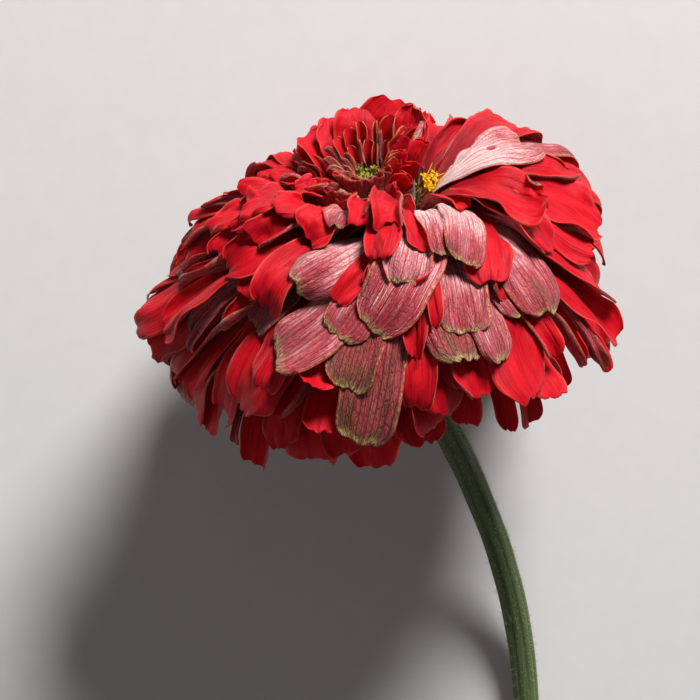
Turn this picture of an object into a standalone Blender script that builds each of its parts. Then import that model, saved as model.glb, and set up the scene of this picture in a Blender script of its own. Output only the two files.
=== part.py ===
"""A fully double red zinnia, cut with its stem and laid on a flat surface.

The flower head is a drooping mop of ray petals on a domed receptacle. It lies on the rear petals, with its
face tipped up, and the cut end of the stem touches the surface. Lengths are in millimetres until the meshes
are made, and angles are in degrees. Every place on the head is given in the head's own terms: the polar
angle runs down from the flower's axis, and the azimuth runs round it, from 0 at the front to +90 at the
right, 180 at the back and -90 at the left.
"""

import math

import bmesh
import bpy
import numpy as np
from mathutils import Matrix, Vector

# Driving dimensions, mm and degrees
MM = 0.001
BLOOM_RADIUS = 45.0
BLOOM_RADIUS_SWAY = 2.9     # the mop hangs further out at the left than at the right
FULL_SIDE = -80.0           # azimuth where it hangs furthest out
DOME_HEIGHT = 40.0          # from the plane of the rim to the top of the mop
HEAD_RAISE = 33.0           # the flower's axis above the surface it lies on
HEAD_TURN = 6.0             # the axis turned towards -X, seen from above
HEAD_CENTRE = (3.2, 25.3, 39.0)     # centre of the rim plane; it centres the flower's box on the origin
RECEPTACLE_RADIUS = 10.0
RECEPTACLE_FOOT = 4.0       # heights along the axis, from the plane of the rim
RECEPTACLE_TOP = 33.0
RECEPTACLE_WAIST = 0.2      # the share of its height below which it narrows to its foot
RECEPTACLE_FOOT_TAPER = 12.0
RECEPTACLE_TOP_TAPER = 0.8
LOWEST_ROOT = 12.5
HIGHEST_ROOT = 31.0
PETAL_THICKNESS = 0.36
PETAL_CLEARANCE = 0.55      # between one petal and the next one over it
SEAT_GAP = 0.35             # between a petal's foot and the receptacle
CLAW_WIDTH = 1.7            # the narrow foot of every petal
STEM_RADIUS_TOP = 2.95
STEM_RADIUS_CUT = 2.5
STEM_SIDES = 12
BRACT_COUNT = 12
BRACT_THICKNESS = 0.7
BRACT_LOBE = 1.6            # how far each bract's tip rises above the notches beside it
BRACT_HEIGHTS = (5.0, 7.0, 9.5)         # where the cup of bracts is measured round the receptacle
BRACT_FLARE = 1.3           # how far the cup stands off the receptacle, as a share of its clearance
BRACT_DROP = 0.4            # and how far it sits below those heights, as a share of it
BRACT_HEEL = 0.3            # how far its base runs out past the receptacle's foot
CROWN_OFFSET = -2.0         # the tuft of youngest petals stands a little left of the axis
FLORET_AZIMUTH = 78.0
FLORET_FOOT = (5.9, 34.1)   # radius and height
FLORET_LEAN = 36.0          # of the open disc florets, away from the axis
FLORET_LOBES = 5
PETAL_ROWS = 8
PETAL_COLUMNS = 4
SIDES_PER_LOBE = 3
RECEPTACLE_RINGS = 8
RECEPTACLE_SIDES = 20
BUD_SIDES = 8
FLUTE = 0.28                # depth of the grooves between the florets' lobes
OLD_LAUNCH = 62.0           # the angle from the axis at which the oldest petal leaves the receptacle
YOUNG_LAUNCH = 28.0
TIP_FALL = 4.0              # how much further down than the mop's surface a tip points
HANDLE = 0.42               # how far a petal's curve keeps its end directions, as a share of its span
BLADE_SPREAD = (0.06, 0.46)     # where a blade begins to widen, and over how much of its length
TIP_NARROWING = (0.72, 0.28, 0.42)      # where it narrows again, over what length, and by how much
TIP_ROUNDING = 0.3          # how far the corners of the tip are drawn back, as a share of the width
CURL_START = 0.7

RED = "red"
PALE = "pale"

# Ray petals from the oldest to the youngest, each laid over those before it. One line holds the tip's
# azimuth, the tip's polar angle, the swing from the tip's azimuth to the foot's, the blade's width in mm,
# the face that is turned outwards, how far the side edges stand up, how far the tip curls out, and how far
# the petal stands proud of the mop, all three in mm.
RIM_PETALS = (
    (84, 95, 0, 13, RED, 0, 0, 0),
    (112, 101, 0, 14, RED, 0, 0, 0),
    (140, 105, 0, 14, RED, 0, 0, 0),
    (168, 107, 0, 14, RED, 0, 0, 0),
    (196, 107, 0, 14, RED, 0, 0, 0),
    (224, 103, 0, 14, RED, 0, 0, 0),
    (252, 98, 0, 13, RED, 0, 0, 0),
    (-58, 92, 6, 9, RED, 1, 0, 0),
    (-40, 94, 2, 8, RED, 1, 0, 0),
    (-25, 90, 4, 11, RED, 1, 0, 0),
    (-9, 90, 6, 11, RED, 1, 0, 0),
    (4, 84, 0, 10, RED, 1, 0, 0),
)
REAR_PETALS = (
    (126, 82, 0, 14, RED, 0, 0, 0),
    (158, 86, 0, 14, RED, 0, 0, 0),
    (190, 87, 0, 14, RED, 0, 0, 0),
    (222, 82, 0, 14, RED, 0, 0, 0),
    (142, 62, 0, 13, RED, 0, 0, 0),
    (176, 64, 0, 13, RED, 0, 0, 0),
    (210, 62, 0, 13, RED, 0, 0, 0),
)
SKIRT_PETALS = (
    (-51, 82, 8, 10, RED, 1, 0, 0),
    (-85, 90, 22, 11, PALE, -1, 0, 1),
    (-19, 81, 6, 10, RED, 1, 2, 0),
    (-41, 76, 14, 13, RED, -1, 0, 0),
    (-25, 73, 12, 11, RED, 1, 2, 0),
    (8, 75, 6, 10, RED, 0, 0, 0),
    (17, 74, 4, 10, RED, 0, 0, 0),
    (37, 82, 6, 10, RED, 0, 0, 0),
    (29, 78, -4, 12, RED, 0, 0, 1),
    (63, 81, -14, 10, RED, 0, 0, 0),
    (-86, 76, 24, 12, RED, 0, 0, 1),
    (-71, 70, 24, 9, RED, -1, 0, 1),
)
LEFT_PETALS = (
    (-96, 71, 26, 10, RED, 0, 1, 1),
    (-80, 56, 22, 10, RED, 1, 0, 0),
    (-106, 55, 18, 12, RED, 0, 0, 1),
    (-59, 48, 24, 9, RED, -1, 0, 0),
    (-41, 52, 14, 9, RED, 1, 0, 0),
    (-68, 36, 14, 10, RED, 0, 0, 0),
)
FRONT_PETALS = (
    (-11, 80, 20, 11, PALE, -1, 0, 1),
    (-16, 69, 6, 9, PALE, -1, 0, 0),
    (-32, 62, 46, 12, PALE, -1, 0, 0),
    (15, 65, 3, 12, PALE, -1, 1, 0),
    (27, 50, 36, 10, RED, -1, 0, 0),
    (42, 62, 0, 12, PALE, -1, 1, 0),
    (-32, 46, 44, 11, PALE, -1, 0, 0),
    (-8, 52, 34, 12, PALE, -1, 0, 1),
    (27, 43, 28, 9, PALE, -1, 1, 0),
)
RIGHT_PETALS = (
    (92, 71, -18, 13, RED, 0, 0, 1),
    (113, 68, -26, 11, RED, 0, 0, 2),
    (83, 60, -16, 12, RED, 0, 0, 1),
    (65, 47, -13, 12, RED, -1, 0, 0),
    (127, 50, -36, 11, RED, 0, 0, 5),
    (110, 42, -42, 12, PALE, -1, 0, 3),
)
TOP_PETALS = ((184, 28, 0, 12, RED, -1, 0, 6),)
WHORLS = (
    ("rim_petal", RIM_PETALS),
    ("rear_petal", REAR_PETALS),
    ("skirt_petal", SKIRT_PETALS),
    ("left_petal", LEFT_PETALS),
    ("front_petal", FRONT_PETALS),
    ("right_petal", RIGHT_PETALS),
    ("top_petal", TOP_PETALS),
)

# The tuft's two cups, each with its count of lobes, and the closed bud: radii and heights, foot to top
CROWN_OUTER = ((3.6, 33.6), (5.4, 34.4), (6.3, 36.0), (6.6, 37.2))
CROWN_OUTER_LOBES = 9
CROWN_INNER = ((1.9, 33.6), (3.1, 34.6), (3.7, 36.2), (3.4, 37.4))
CROWN_INNER_LOBES = 7
CROWN_OUTER_RISE = (2.5, 7.5)           # how far its lobes rise at the front and at the back
CROWN_INNER_RISE = 2.6
CROWN_SWELL = 0.8           # how far a lobe bulges beyond the notches beside it
LOBE_BLUNTNESS = 0.7        # 1 for a rounded lobe, less for a blunter one
LOBE_ONSET = 1.5            # how late, going up a cup, its lobes part
BUD_PROFILE = ((0.0, 33.4), (1.0, 33.4), (1.2, 34.4), (1.1, 35.6), (0.5, 36.4), (0.0, 36.5))
FLORET_PROFILE = ((0.9, 0.0), (1.1, 1.2), (1.3, 2.6), (1.7, 3.9), (0.7, 4.6))

# The stem's middle line from the neck to the cut, across and along from the head's centre and above the
# surface, where its last stretch lies
STEM_ROUTE = (
    (5.0, -8.5, 33.2),
    (10.0, -17.0, 27.0),
    (15.0, -27.0, 20.0),
    (21.0, -42.0, 11.6),
    (25.0, -58.0, 6.0),
    (27.0, -76.0, 3.0),
    (28.0, -96.0, 2.5),
)
STEM_STEPS = 28
CUT_SLANT = 25.0


# The head's own directions
def head_directions():
    """The unit vectors of the flower's axis, its front and its right."""
    raise_angle = math.radians(HEAD_RAISE)
    turn = math.radians(HEAD_TURN)
    flat = np.array([-math.sin(turn), math.cos(turn), 0.0])
    axis = math.cos(raise_angle) * flat + math.sin(raise_angle) * np.array([0.0, 0.0, 1.0])
    right = np.array([math.cos(turn), math.sin(turn), 0.0])
    return axis, np.cross(right, axis), right


AXIS, FRONT, RIGHT = head_directions()
CENTRE = np.array(HEAD_CENTRE)
SURFACE_OFFSET = np.array([HEAD_CENTRE[0], HEAD_CENTRE[1], 0.0])


def direction(polar, azimuth):
    """The unit vector from the head's centre, for angles in radians, as single values or as arrays."""
    side = np.cos(azimuth)[..., None] * FRONT + np.sin(azimuth)[..., None] * RIGHT
    return np.cos(polar)[..., None] * AXIS + np.sin(polar)[..., None] * side


def on_axis(radius, azimuth, height):
    """The point at this radius from the axis, azimuth in radians and height along the axis."""
    side = math.cos(azimuth) * FRONT + math.sin(azimuth) * RIGHT
    return CENTRE + radius * side + height * AXIS


def mop_radius(polar, azimuth):
    """How far the mop's smooth outer shape is from the head's centre."""
    rim = BLOOM_RADIUS + BLOOM_RADIUS_SWAY * math.cos(azimuth - math.radians(FULL_SIDE))
    if polar > math.pi / 2:
        return rim
    return 1.0 / math.hypot(math.cos(polar) / DOME_HEIGHT, math.sin(polar) / rim)


def smooth_step(value):
    value = np.clip(value, 0.0, 1.0)
    return value * value * (3.0 - 2.0 * value)


# Laying the petals over one another
MAP_REACH = 130.0           # polar angle at the edge of the map, degrees
MAP_CELL = 0.6              # degrees
MAP_SIZE = int(2 * MAP_REACH / MAP_CELL)
SAMPLES_PER_CELL = 10       # points marked along and across each cell of a laid petal
LIFT_SAMPLES = 6            # points tested along and across each cell of a petal being laid
LIFT_ROUNDS = 4
SPREADS = 30                # how many times a lift is spread over its neighbours
SPREAD_SHARE = 0.98         # how much of it is passed on each time


class MopMap:
    """How far out the petals laid so far reach, over a flat map of the directions round the head."""

    def __init__(self):
        steps = (np.arange(MAP_SIZE) + 0.5) * MAP_CELL - MAP_REACH
        down, across = np.meshgrid(steps, steps, indexing="ij")
        polar = np.radians(np.hypot(down, across))
        self.directions = direction(polar, np.arctan2(across, down))
        self.reach = np.zeros((MAP_SIZE, MAP_SIZE))

    def cells(self, points):
        """The map cell, and the distance from the centre, of each point."""
        offset = points - CENTRE
        distance = np.linalg.norm(offset, axis=-1)
        along = offset @ AXIS / distance
        polar = np.degrees(np.arccos(np.clip(along, -1.0, 1.0)))
        azimuth = np.arctan2(offset @ RIGHT, offset @ FRONT)
        down = (polar * np.cos(azimuth) + MAP_REACH) / MAP_CELL
        across = (polar * np.sin(azimuth) + MAP_REACH) / MAP_CELL
        cell = np.stack([down, across], axis=-1).astype(int)
        return np.clip(cell, 4, MAP_SIZE - 5), distance

    def lay(self, points, gap):
        """Marks the surface through these points, thickened by a ball of radius gap."""
        cell, distance = self.cells(points)
        unit = (points - CENTRE) / distance[:, None]
        for down in range(-3, 4):
            for across in range(-3, 4):
                near = (cell[:, 0] + down, cell[:, 1] + across)
                apart = distance * np.linalg.norm(self.directions[near] - unit, axis=-1)
                bulge = np.sqrt(np.maximum(gap * gap - apart * apart, 0.0))
                np.maximum.at(self.reach, near, np.where(apart < gap, distance + bulge, 0.0))

    def needed(self, points):
        """How far each point lies inside what is laid already."""
        cell, distance = self.cells(points)
        return self.reach[cell[:, 0], cell[:, 1]] - distance


def between(grid, steps):
    """Points spread over each cell of a grid of points, with the row and column of each one's cell."""
    rows, columns = grid.shape[0] - 1, grid.shape[1] - 1
    part = (np.arange(steps) + 0.5) / steps
    row, column, across, along = np.meshgrid(np.arange(rows), np.arange(columns), part, part, indexing="ij")
    row, column, across, along = (values.ravel() for values in (row, column, across, along))
    low = grid[row, column] * (1 - along)[:, None] + grid[row + 1, column] * along[:, None]
    high = grid[row, column + 1] * (1 - along)[:, None] + grid[row + 1, column + 1] * along[:, None]
    return low * (1 - across)[:, None] + high * across[:, None], row, column


def neighbour_mean(values):
    """The mean of each value's neighbours along and across a petal."""
    padded = np.pad(values, 1, mode="edge")
    return (padded[:-2, 1:-1] + padded[2:, 1:-1] + padded[1:-1, :-2] + padded[1:-1, 2:]) / 4.0


def drape(grid, mop):
    """Lifts a petal outwards, smoothly, until it clears every petal laid before it."""
    outward = grid - CENTRE
    outward /= np.linalg.norm(outward, axis=-1, keepdims=True)
    lift = np.zeros(grid.shape[:2])
    for _ in range(LIFT_ROUNDS):
        points, row, column = between(grid + lift[..., None] * outward, LIFT_SAMPLES)
        lack = np.maximum(mop.needed(points), 0.0)
        floor_lift = lift.copy()
        for down in (0, 1):
            for across in (0, 1):
                corner = (row + down, column + across)
                np.maximum.at(floor_lift, corner, lift[corner] + lack)
        floor_lift[0] = 0.0
        lift = floor_lift.copy()
        for _ in range(SPREADS):
            lift = np.maximum(floor_lift, SPREAD_SHARE * neighbour_mean(lift))
            lift[0] = 0.0
    return grid + lift[..., None] * outward


# Petals
def spine(tip_azimuth, tip_polar, swing, proud, age):
    """Points and foot of a petal's middle line, from the receptacle to its tip; age is 0 to 1, young."""
    tip_polar = math.radians(tip_polar)
    tip_azimuth = math.radians(tip_azimuth)
    foot_azimuth = tip_azimuth + math.radians(swing)
    reach = mop_radius(tip_polar, tip_azimuth) + proud
    foot_height = LOWEST_ROOT + (HIGHEST_ROOT - LOWEST_ROOT) * age
    foot = np.array([receptacle_radius(foot_height) + SEAT_GAP, foot_height])
    tip = reach * np.array([math.sin(tip_polar), math.cos(tip_polar)])
    span = np.linalg.norm(tip - foot)
    launch = math.radians(OLD_LAUNCH + (YOUNG_LAUNCH - OLD_LAUNCH) * age)
    fall = tip_polar + math.radians(TIP_FALL)
    first = foot + HANDLE * span * np.array([math.sin(launch), math.cos(launch)])
    last = tip - HANDLE * span * np.array([math.cos(fall), -math.sin(fall)])
    part = np.linspace(0.0, 1.0, PETAL_ROWS + 1)[:, None]
    curve = (1 - part) ** 3 * foot + 3 * (1 - part) ** 2 * part * first
    curve = curve + 3 * (1 - part) * part**2 * last + part**3 * tip
    azimuth = foot_azimuth + (tip_azimuth - foot_azimuth) * part[:, 0]
    side = np.cos(azimuth)[:, None] * FRONT + np.sin(azimuth)[:, None] * RIGHT
    return CENTRE + curve[:, :1] * side + curve[:, 1:] * AXIS


def petal_grid(row, age):
    """The middle surface of one petal before it is laid over the others."""
    tip_azimuth, tip_polar, swing, width, _face, cup, curl, proud = row
    line = spine(tip_azimuth, tip_polar, swing, proud, age)
    along = np.gradient(line, axis=0)
    along /= np.linalg.norm(along, axis=1, keepdims=True)
    outward = line - CENTRE
    outward /= np.linalg.norm(outward, axis=1, keepdims=True)
    across = np.cross(along, outward)
    across /= np.linalg.norm(across, axis=1, keepdims=True)
    part = np.linspace(0.0, 1.0, PETAL_ROWS + 1)
    blade = smooth_step((part - BLADE_SPREAD[0]) / BLADE_SPREAD[1])
    narrowing = 1.0 - TIP_NARROWING[2] * smooth_step((part - TIP_NARROWING[0]) / TIP_NARROWING[1])
    half_width = 0.5 * (CLAW_WIDTH + (width - CLAW_WIDTH) * blade * narrowing)
    grid = np.empty((PETAL_ROWS + 1, PETAL_COLUMNS + 1, 3))
    for column in range(PETAL_COLUMNS + 1):
        place = 2.0 * column / PETAL_COLUMNS - 1.0
        rounding = TIP_ROUNDING * width * place**2 * part**6
        height = cup * place**2 * blade + curl * np.clip((part - CURL_START) / (1 - CURL_START), 0, 1) ** 2
        flat = line + (half_width * place)[:, None] * across - rounding[:, None] * along
        grid[:, column] = flat + height[:, None] * outward
    return grid


def rest_on_surface(grid):
    """Keeps a petal's middle surface half a thickness above the surface that the flower lies on."""
    rested = grid.copy()
    rested[..., 2] = np.maximum(grid[..., 2], 0.5 * PETAL_THICKNESS)
    return rested


def receptacle_radius(height):
    """The receptacle's radius at a height along the axis: a stout dome with a rounded foot."""
    part = (height - RECEPTACLE_FOOT) / (RECEPTACLE_TOP - RECEPTACLE_FOOT)
    foot = math.sqrt(1.0 - RECEPTACLE_FOOT_TAPER * max(RECEPTACLE_WAIST - part, 0.0) ** 2)
    top = math.sqrt(1.0 - RECEPTACLE_TOP_TAPER * max(part - RECEPTACLE_WAIST, 0.0) ** 2)
    return RECEPTACLE_RADIUS * foot * top


def all_petals():
    """The name, face and laid middle surface of every ray petal."""
    total = sum(len(rows) for _name, rows in WHORLS)
    mop = MopMap()
    petals = []
    for whorl, rows in WHORLS:
        for number, row in enumerate(rows, start=1):
            age = len(petals) / (total - 1)
            grid = rest_on_surface(drape(petal_grid(row, age), mop))
            points, _row, _column = between(grid, SAMPLES_PER_CELL)
            mop.lay(points, PETAL_THICKNESS + PETAL_CLEARANCE)
            petals.append((f"{whorl}_{number:02d}", row[4], grid))
    return petals


# Meshes and materials
def principled(name, colour, roughness):
    material = bpy.data.materials.new(name)
    material.use_nodes = True
    shader = material.node_tree.nodes["Principled BSDF"]
    shader.inputs["Base Color"].default_value = (*colour, 1.0)
    shader.inputs["Roughness"].default_value = roughness
    shader.inputs["Metallic"].default_value = 0.0
    return material


def add_mesh(name, points, faces, material):
    """Makes an object from points in mm and faces, with its normals facing out."""
    mesh = bpy.data.meshes.new(name)
    mesh.from_pydata([Vector(point) * MM for point in points], [], faces)
    shape = bmesh.new()
    shape.from_mesh(mesh)
    bmesh.ops.recalc_face_normals(shape, faces=shape.faces)
    shape.to_mesh(mesh)
    shape.free()
    mesh.materials.append(material)
    mesh.shade_smooth()
    thing = bpy.data.objects.new(name, mesh)
    bpy.context.scene.collection.objects.link(thing)
    return thing


def thicken(thing, thickness):
    """Gives a sheet its thickness, half on each side."""
    solid = thing.modifiers.new("thickness", "SOLIDIFY")
    solid.thickness = thickness * MM
    solid.offset = 0.0
    solid.use_even_offset = False


def grid_faces(rows, columns, closed=False):
    """Quads over a grid of points stored row by row, joined round its last column if it is closed."""
    faces = []
    for row in range(rows - 1):
        for column in range(columns if closed else columns - 1):
            after = (column + 1) % columns
            low, high = row * columns, (row + 1) * columns
            faces.append((low + column, low + after, high + after, high + column))
    return faces


def add_turned(name, profile, sides, material):
    """A closed solid turned round the flower's axis from (radius, height) points, foot to top."""
    points = [on_axis(0.0, 0.0, profile[0][1])]
    for radius, height in profile[1:-1]:
        for side in range(sides):
            points.append(on_axis(radius, 2 * math.pi * side / sides, height))
    points.append(on_axis(0.0, 0.0, profile[-1][1]))
    rings = len(profile) - 2
    faces = [tuple(1 + index for index in face) for face in grid_faces(rings, sides, closed=True)]
    last = len(points) - 1
    for side in range(sides):
        after = (side + 1) % sides
        faces.append((0, 1 + after, 1 + side))
        faces.append((last, last - sides + side, last - sides + after))
    return add_mesh(name, points, faces, material)


# The other pieces
def add_receptacle(material):
    heights = np.linspace(RECEPTACLE_FOOT, RECEPTACLE_TOP, RECEPTACLE_RINGS)
    profile = [(0.0, RECEPTACLE_FOOT)]
    profile += [(receptacle_radius(height), height) for height in heights]
    profile += [(0.0, RECEPTACLE_TOP)]
    add_turned("receptacle", profile, RECEPTACLE_SIDES, material)


def add_cup(name, profile, lobes, lobe_height, thickness, material, swell=0.0, shift=0.0):
    """A cup of overlapping scales grown together: an open sheet turned round the axis, with a scalloped top.

    The profile holds (radius, height) points from foot to lip, and lobe_height(azimuth) is how far the lip
    rises above the last of them at the middle of a lobe.
    """
    sides = lobes * SIDES_PER_LOBE
    points = []
    for step, (radius, height) in enumerate(profile):
        part = step / (len(profile) - 1)
        for side in range(sides):
            azimuth = 2 * math.pi * side / sides
            arch = abs(math.cos(0.5 * lobes * azimuth)) ** LOBE_BLUNTNESS
            bulge = swell * part * (arch - 0.5)
            rise = lobe_height(azimuth) * arch * part**LOBE_ONSET
            points.append(on_axis(radius + bulge, azimuth, height + rise) + shift * RIGHT)
    cup = add_mesh(name, points, grid_faces(len(profile), sides, closed=True), material)
    thicken(cup, thickness)


def add_involucre(material):
    """The green cup of bracts that holds the receptacle's foot."""
    clear = SEAT_GAP + 0.5 * BRACT_THICKNESS
    under = RECEPTACLE_FOOT - clear
    heel = receptacle_radius(RECEPTACLE_FOOT) + BRACT_HEEL
    profile = [(STEM_RADIUS_TOP + clear, under), (heel, under)]
    for height in BRACT_HEIGHTS:
        profile.append((receptacle_radius(height) + BRACT_FLARE * clear, height - BRACT_DROP * clear))
    add_cup("involucre", profile, BRACT_COUNT, lambda azimuth: BRACT_LOBE, BRACT_THICKNESS, material)


def outer_rise(azimuth):
    """The tuft stands taller at the back than at the front."""
    front, back = CROWN_OUTER_RISE
    return 0.5 * (front + back) + 0.5 * (front - back) * math.cos(azimuth)


def add_crown(material):
    cups = (
        ("crown_petals_outer", CROWN_OUTER, CROWN_OUTER_LOBES, outer_rise),
        ("crown_petals_inner", CROWN_INNER, CROWN_INNER_LOBES, lambda azimuth: CROWN_INNER_RISE),
    )
    for name, profile, lobes, rise in cups:
        add_cup(name, profile, lobes, rise, PETAL_THICKNESS, material, CROWN_SWELL, CROWN_OFFSET)


def add_bud(material):
    """The unopened centre: a small knob of florets inside the tuft."""
    knob = add_turned("bud_florets", BUD_PROFILE, BUD_SIDES, material)
    knob.data.transform(Matrix.Translation(Vector(CROWN_OFFSET * RIGHT) * MM))


def add_disc_florets(material):
    """A tuft of disc florets on the receptacle's right shoulder, fanned out from one foot."""
    azimuth = math.radians(FLORET_AZIMUTH)
    lean = math.radians(FLORET_LEAN)
    foot = on_axis(FLORET_FOOT[0], azimuth, FLORET_FOOT[1])
    side = math.cos(azimuth) * FRONT + math.sin(azimuth) * RIGHT
    up = math.cos(lean) * AXIS + math.sin(lean) * side
    out = math.cos(lean) * side - math.sin(lean) * AXIS
    along = np.cross(up, out)
    sides = FLORET_LOBES * SIDES_PER_LOBE
    points = []
    for radius, height in FLORET_PROFILE:
        for number in range(sides):
            angle = 2 * math.pi * number / sides
            reach = radius * (1.0 + FLUTE * min(height, radius) * math.cos(FLORET_LOBES * angle))
            points.append(foot + height * up + reach * (math.cos(angle) * out + math.sin(angle) * along))
    faces = grid_faces(len(FLORET_PROFILE), sides, closed=True)
    faces.append(tuple(range(sides)))
    faces.append(tuple(len(points) - sides + number for number in range(sides)))
    add_mesh("disc_florets", points, faces, material)


def smooth_route(points, steps):
    """Points and directions along a Catmull-Rom curve through the given points."""
    ends = [2 * points[0] - points[1], *points, 2 * points[-1] - points[-2]]
    route = []
    for place in np.linspace(0.0, len(points) - 1, steps + 1):
        span = min(int(place), len(points) - 2)
        part = place - span
        a, b, c, d = ends[span : span + 4]
        slope, bend = c - a, 2 * a - 5 * b + 4 * c - d
        route.append(0.5 * (2 * b + slope * part + bend * part**2 + (3 * b - a - 3 * c + d) * part**3))
    route = np.array(route)
    along = np.gradient(route, axis=0)
    return route, along / np.linalg.norm(along, axis=1, keepdims=True)


def add_stem(material):
    neck = [on_axis(0.0, 0.0, RECEPTACLE_FOOT - SEAT_GAP), on_axis(0.0, 0.0, 0.0)]
    below = [SURFACE_OFFSET + np.array(point) for point in STEM_ROUTE]
    route, along = smooth_route(neck + below, STEM_STEPS)
    along[0] = -AXIS
    points = []
    for step, (middle, ahead) in enumerate(zip(route, along)):
        part = step / STEM_STEPS
        radius = STEM_RADIUS_TOP + (STEM_RADIUS_CUT - STEM_RADIUS_TOP) * part
        middle = np.array([middle[0], middle[1], max(middle[2], radius)])
        across = np.cross(ahead, np.array([0.0, 0.0, 1.0]))
        across /= np.linalg.norm(across)
        up = np.cross(across, ahead)
        slant = math.tan(math.radians(CUT_SLANT)) if step == STEM_STEPS else 0.0
        for side in range(STEM_SIDES):
            angle = 2 * math.pi * side / STEM_SIDES
            offset = radius * (math.cos(angle) * across + math.sin(angle) * up)
            points.append(middle + offset - slant * radius * math.sin(angle) * ahead)
    faces = grid_faces(STEM_STEPS + 1, STEM_SIDES, closed=True)
    faces.append(tuple(range(STEM_SIDES)))
    faces.append(tuple(len(points) - STEM_SIDES + side for side in range(STEM_SIDES)))
    add_mesh("stem", points, faces, material)


def add_petals(red, pale):
    faces = grid_faces(PETAL_ROWS + 1, PETAL_COLUMNS + 1)
    for name, face, grid in all_petals():
        sheet = add_mesh(name, grid.reshape(-1, 3), faces, red if face == RED else pale)
        thicken(sheet, PETAL_THICKNESS)


def main():
    for thing in list(bpy.data.objects):
        bpy.data.objects.remove(thing)
    red = principled("petal_red", (0.78, 0.03, 0.03), 0.55)
    pale = principled("petal_pale", (0.72, 0.42, 0.42), 0.6)
    green = principled("stem_green", (0.10, 0.16, 0.05), 0.6)
    yellow = principled("floret_yellow", (0.85, 0.50, 0.02), 0.6)
    add_petals(red, pale)
    add_crown(red)
    add_bud(green)
    add_disc_florets(yellow)
    add_receptacle(green)
    add_involucre(green)
    add_stem(green)


main()
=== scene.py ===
"""The looks of a red zinnia, cut and lying on a pale floor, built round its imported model.

Lengths are in millimetres until the meshes are made, and angles are in degrees. Places on the flower's head
are given by the polar angle down from its axis and the azimuth round it: 0 at the front, +90 at the right,
180 at the back and -90 at the left. A petal's left and right are seen from outside, with its tip down.
"""

import math
from typing import NamedTuple

import bpy
import numpy as np
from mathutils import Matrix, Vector, noise


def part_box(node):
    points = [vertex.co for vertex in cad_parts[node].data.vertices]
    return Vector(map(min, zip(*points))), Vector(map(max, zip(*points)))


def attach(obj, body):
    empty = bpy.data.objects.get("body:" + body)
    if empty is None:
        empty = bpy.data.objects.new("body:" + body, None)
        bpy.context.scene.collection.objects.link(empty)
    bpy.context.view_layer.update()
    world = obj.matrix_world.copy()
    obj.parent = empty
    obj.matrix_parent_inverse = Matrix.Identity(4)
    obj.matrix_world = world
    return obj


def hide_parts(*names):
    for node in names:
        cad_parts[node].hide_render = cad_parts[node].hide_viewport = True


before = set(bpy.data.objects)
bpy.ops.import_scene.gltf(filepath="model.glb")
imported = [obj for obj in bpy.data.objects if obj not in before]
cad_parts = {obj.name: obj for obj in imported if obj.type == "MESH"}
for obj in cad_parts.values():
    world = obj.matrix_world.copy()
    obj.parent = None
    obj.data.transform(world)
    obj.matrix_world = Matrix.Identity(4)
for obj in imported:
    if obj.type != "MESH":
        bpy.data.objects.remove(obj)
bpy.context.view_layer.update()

MM = 0.001

# The head, as the model has it, but for a slightly smaller bloom, since many more layers build it up here
BLOOM_RADIUS = 43.3
BLOOM_RADIUS_SWAY = 2.4
FULL_SIDE = -35.0
DOME_HEIGHT = 40.0
HEAD_RAISE = 33.0
HEAD_TURN = 6.0
RECEPTACLE_RADIUS = 10.0
RECEPTACLE_FOOT = 4.0
RECEPTACLE_TOP = 33.0
RECEPTACLE_SIDES = 20   # in the model
LOWEST_ROOT = 12.5
HIGHEST_ROOT = 31.0
SEAT_GAP = 0.35
CLAW_WIDTH = 1.7
CROWN_OFFSET = -2.0

# Petal meshes
ROWS = 44
COLUMNS = 24
TIP_DETAIL = 1.35   # above 1, the rows stand closer together towards the tip
THICK = 0.30
THIN = 0.12
LAST_ROW = 0.107    # how far the outline's last row is in from the tip, for a rounded end
CLEARANCE = 0.04
BURIED = 0.12       # how much nearer the middle the oldest petals lie, which leaves room for the rest
FOOT_PART = 0.25    # the part of a petal that is crowded in among the other feet
HANDLE = 0.42       # how far a petal's curve keeps its end directions, as a share of its span
OLD_LAUNCH = 62.0   # the angle from the axis at which the oldest petal leaves the receptacle
YOUNG_LAUNCH = 28.0
TIP_FALL = 4.0      # how much further down than the mop's surface a tip points
SWAY = 3.0          # how far a petal's middle may stray from its route, degrees
WRINKLE = (0.4, 0.75)   # the least and the most height of a ray petal's wrinkles

# How a blade changes from its foot, 0, to its tip, 1: where each change begins and how long it takes
BLADE_SPREAD = (0.05, 0.60)
TWISTING = (0.15, 0.85)
UNROLLING = (0.22, 0.3)
TIP_CURLING = (0.66, 0.34)
TIP_SQUARING = (0.9, 0.1)
TIP_THINNING = (0.8, 0.2)
WRINKLING = (0.15, 0.3)
COMING_FREE = (FOOT_PART, 0.3)
ROLLED_EDGE = (0.45, 0.55)  # across, from the middle, 0, to the edge, 1
CURL_TURN = 0.30            # radians that a tip turns for each unit of curl

# The first seed of the random draws of each kind of piece
RAY_SEED = 1000
HOOD_SEED = 4000
COLLAR_SEED = 4500
OUTER_TUFT_SEED = 5000
INNER_TUFT_SEED = 6000
BRACT_SEED = 7000
CHAFF_SEED = 8000
BUD_SEED = 9000
FLORET_SEED = 9500
HAIR_SEED = 70

RED = "red"
PALE = "pale"
DULL = "dull"


def unit(vectors):
    """The vectors along the last axis, each made one long."""
    return vectors / np.linalg.norm(vectors, axis=-1, keepdims=True)


def circle(sides):
    """The angles of this many evenly spaced directions, in radians."""
    return np.arange(sides) * 2 * math.pi / sides


# The head's own directions
def head_directions():
    raise_angle = math.radians(HEAD_RAISE)
    turn = math.radians(HEAD_TURN)
    flat = np.array([-math.sin(turn), math.cos(turn), 0.0])
    axis = math.cos(raise_angle) * flat + math.sin(raise_angle) * np.array([0.0, 0.0, 1.0])
    right = np.array([math.cos(turn), math.sin(turn), 0.0])
    return axis, np.cross(right, axis), right


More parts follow.
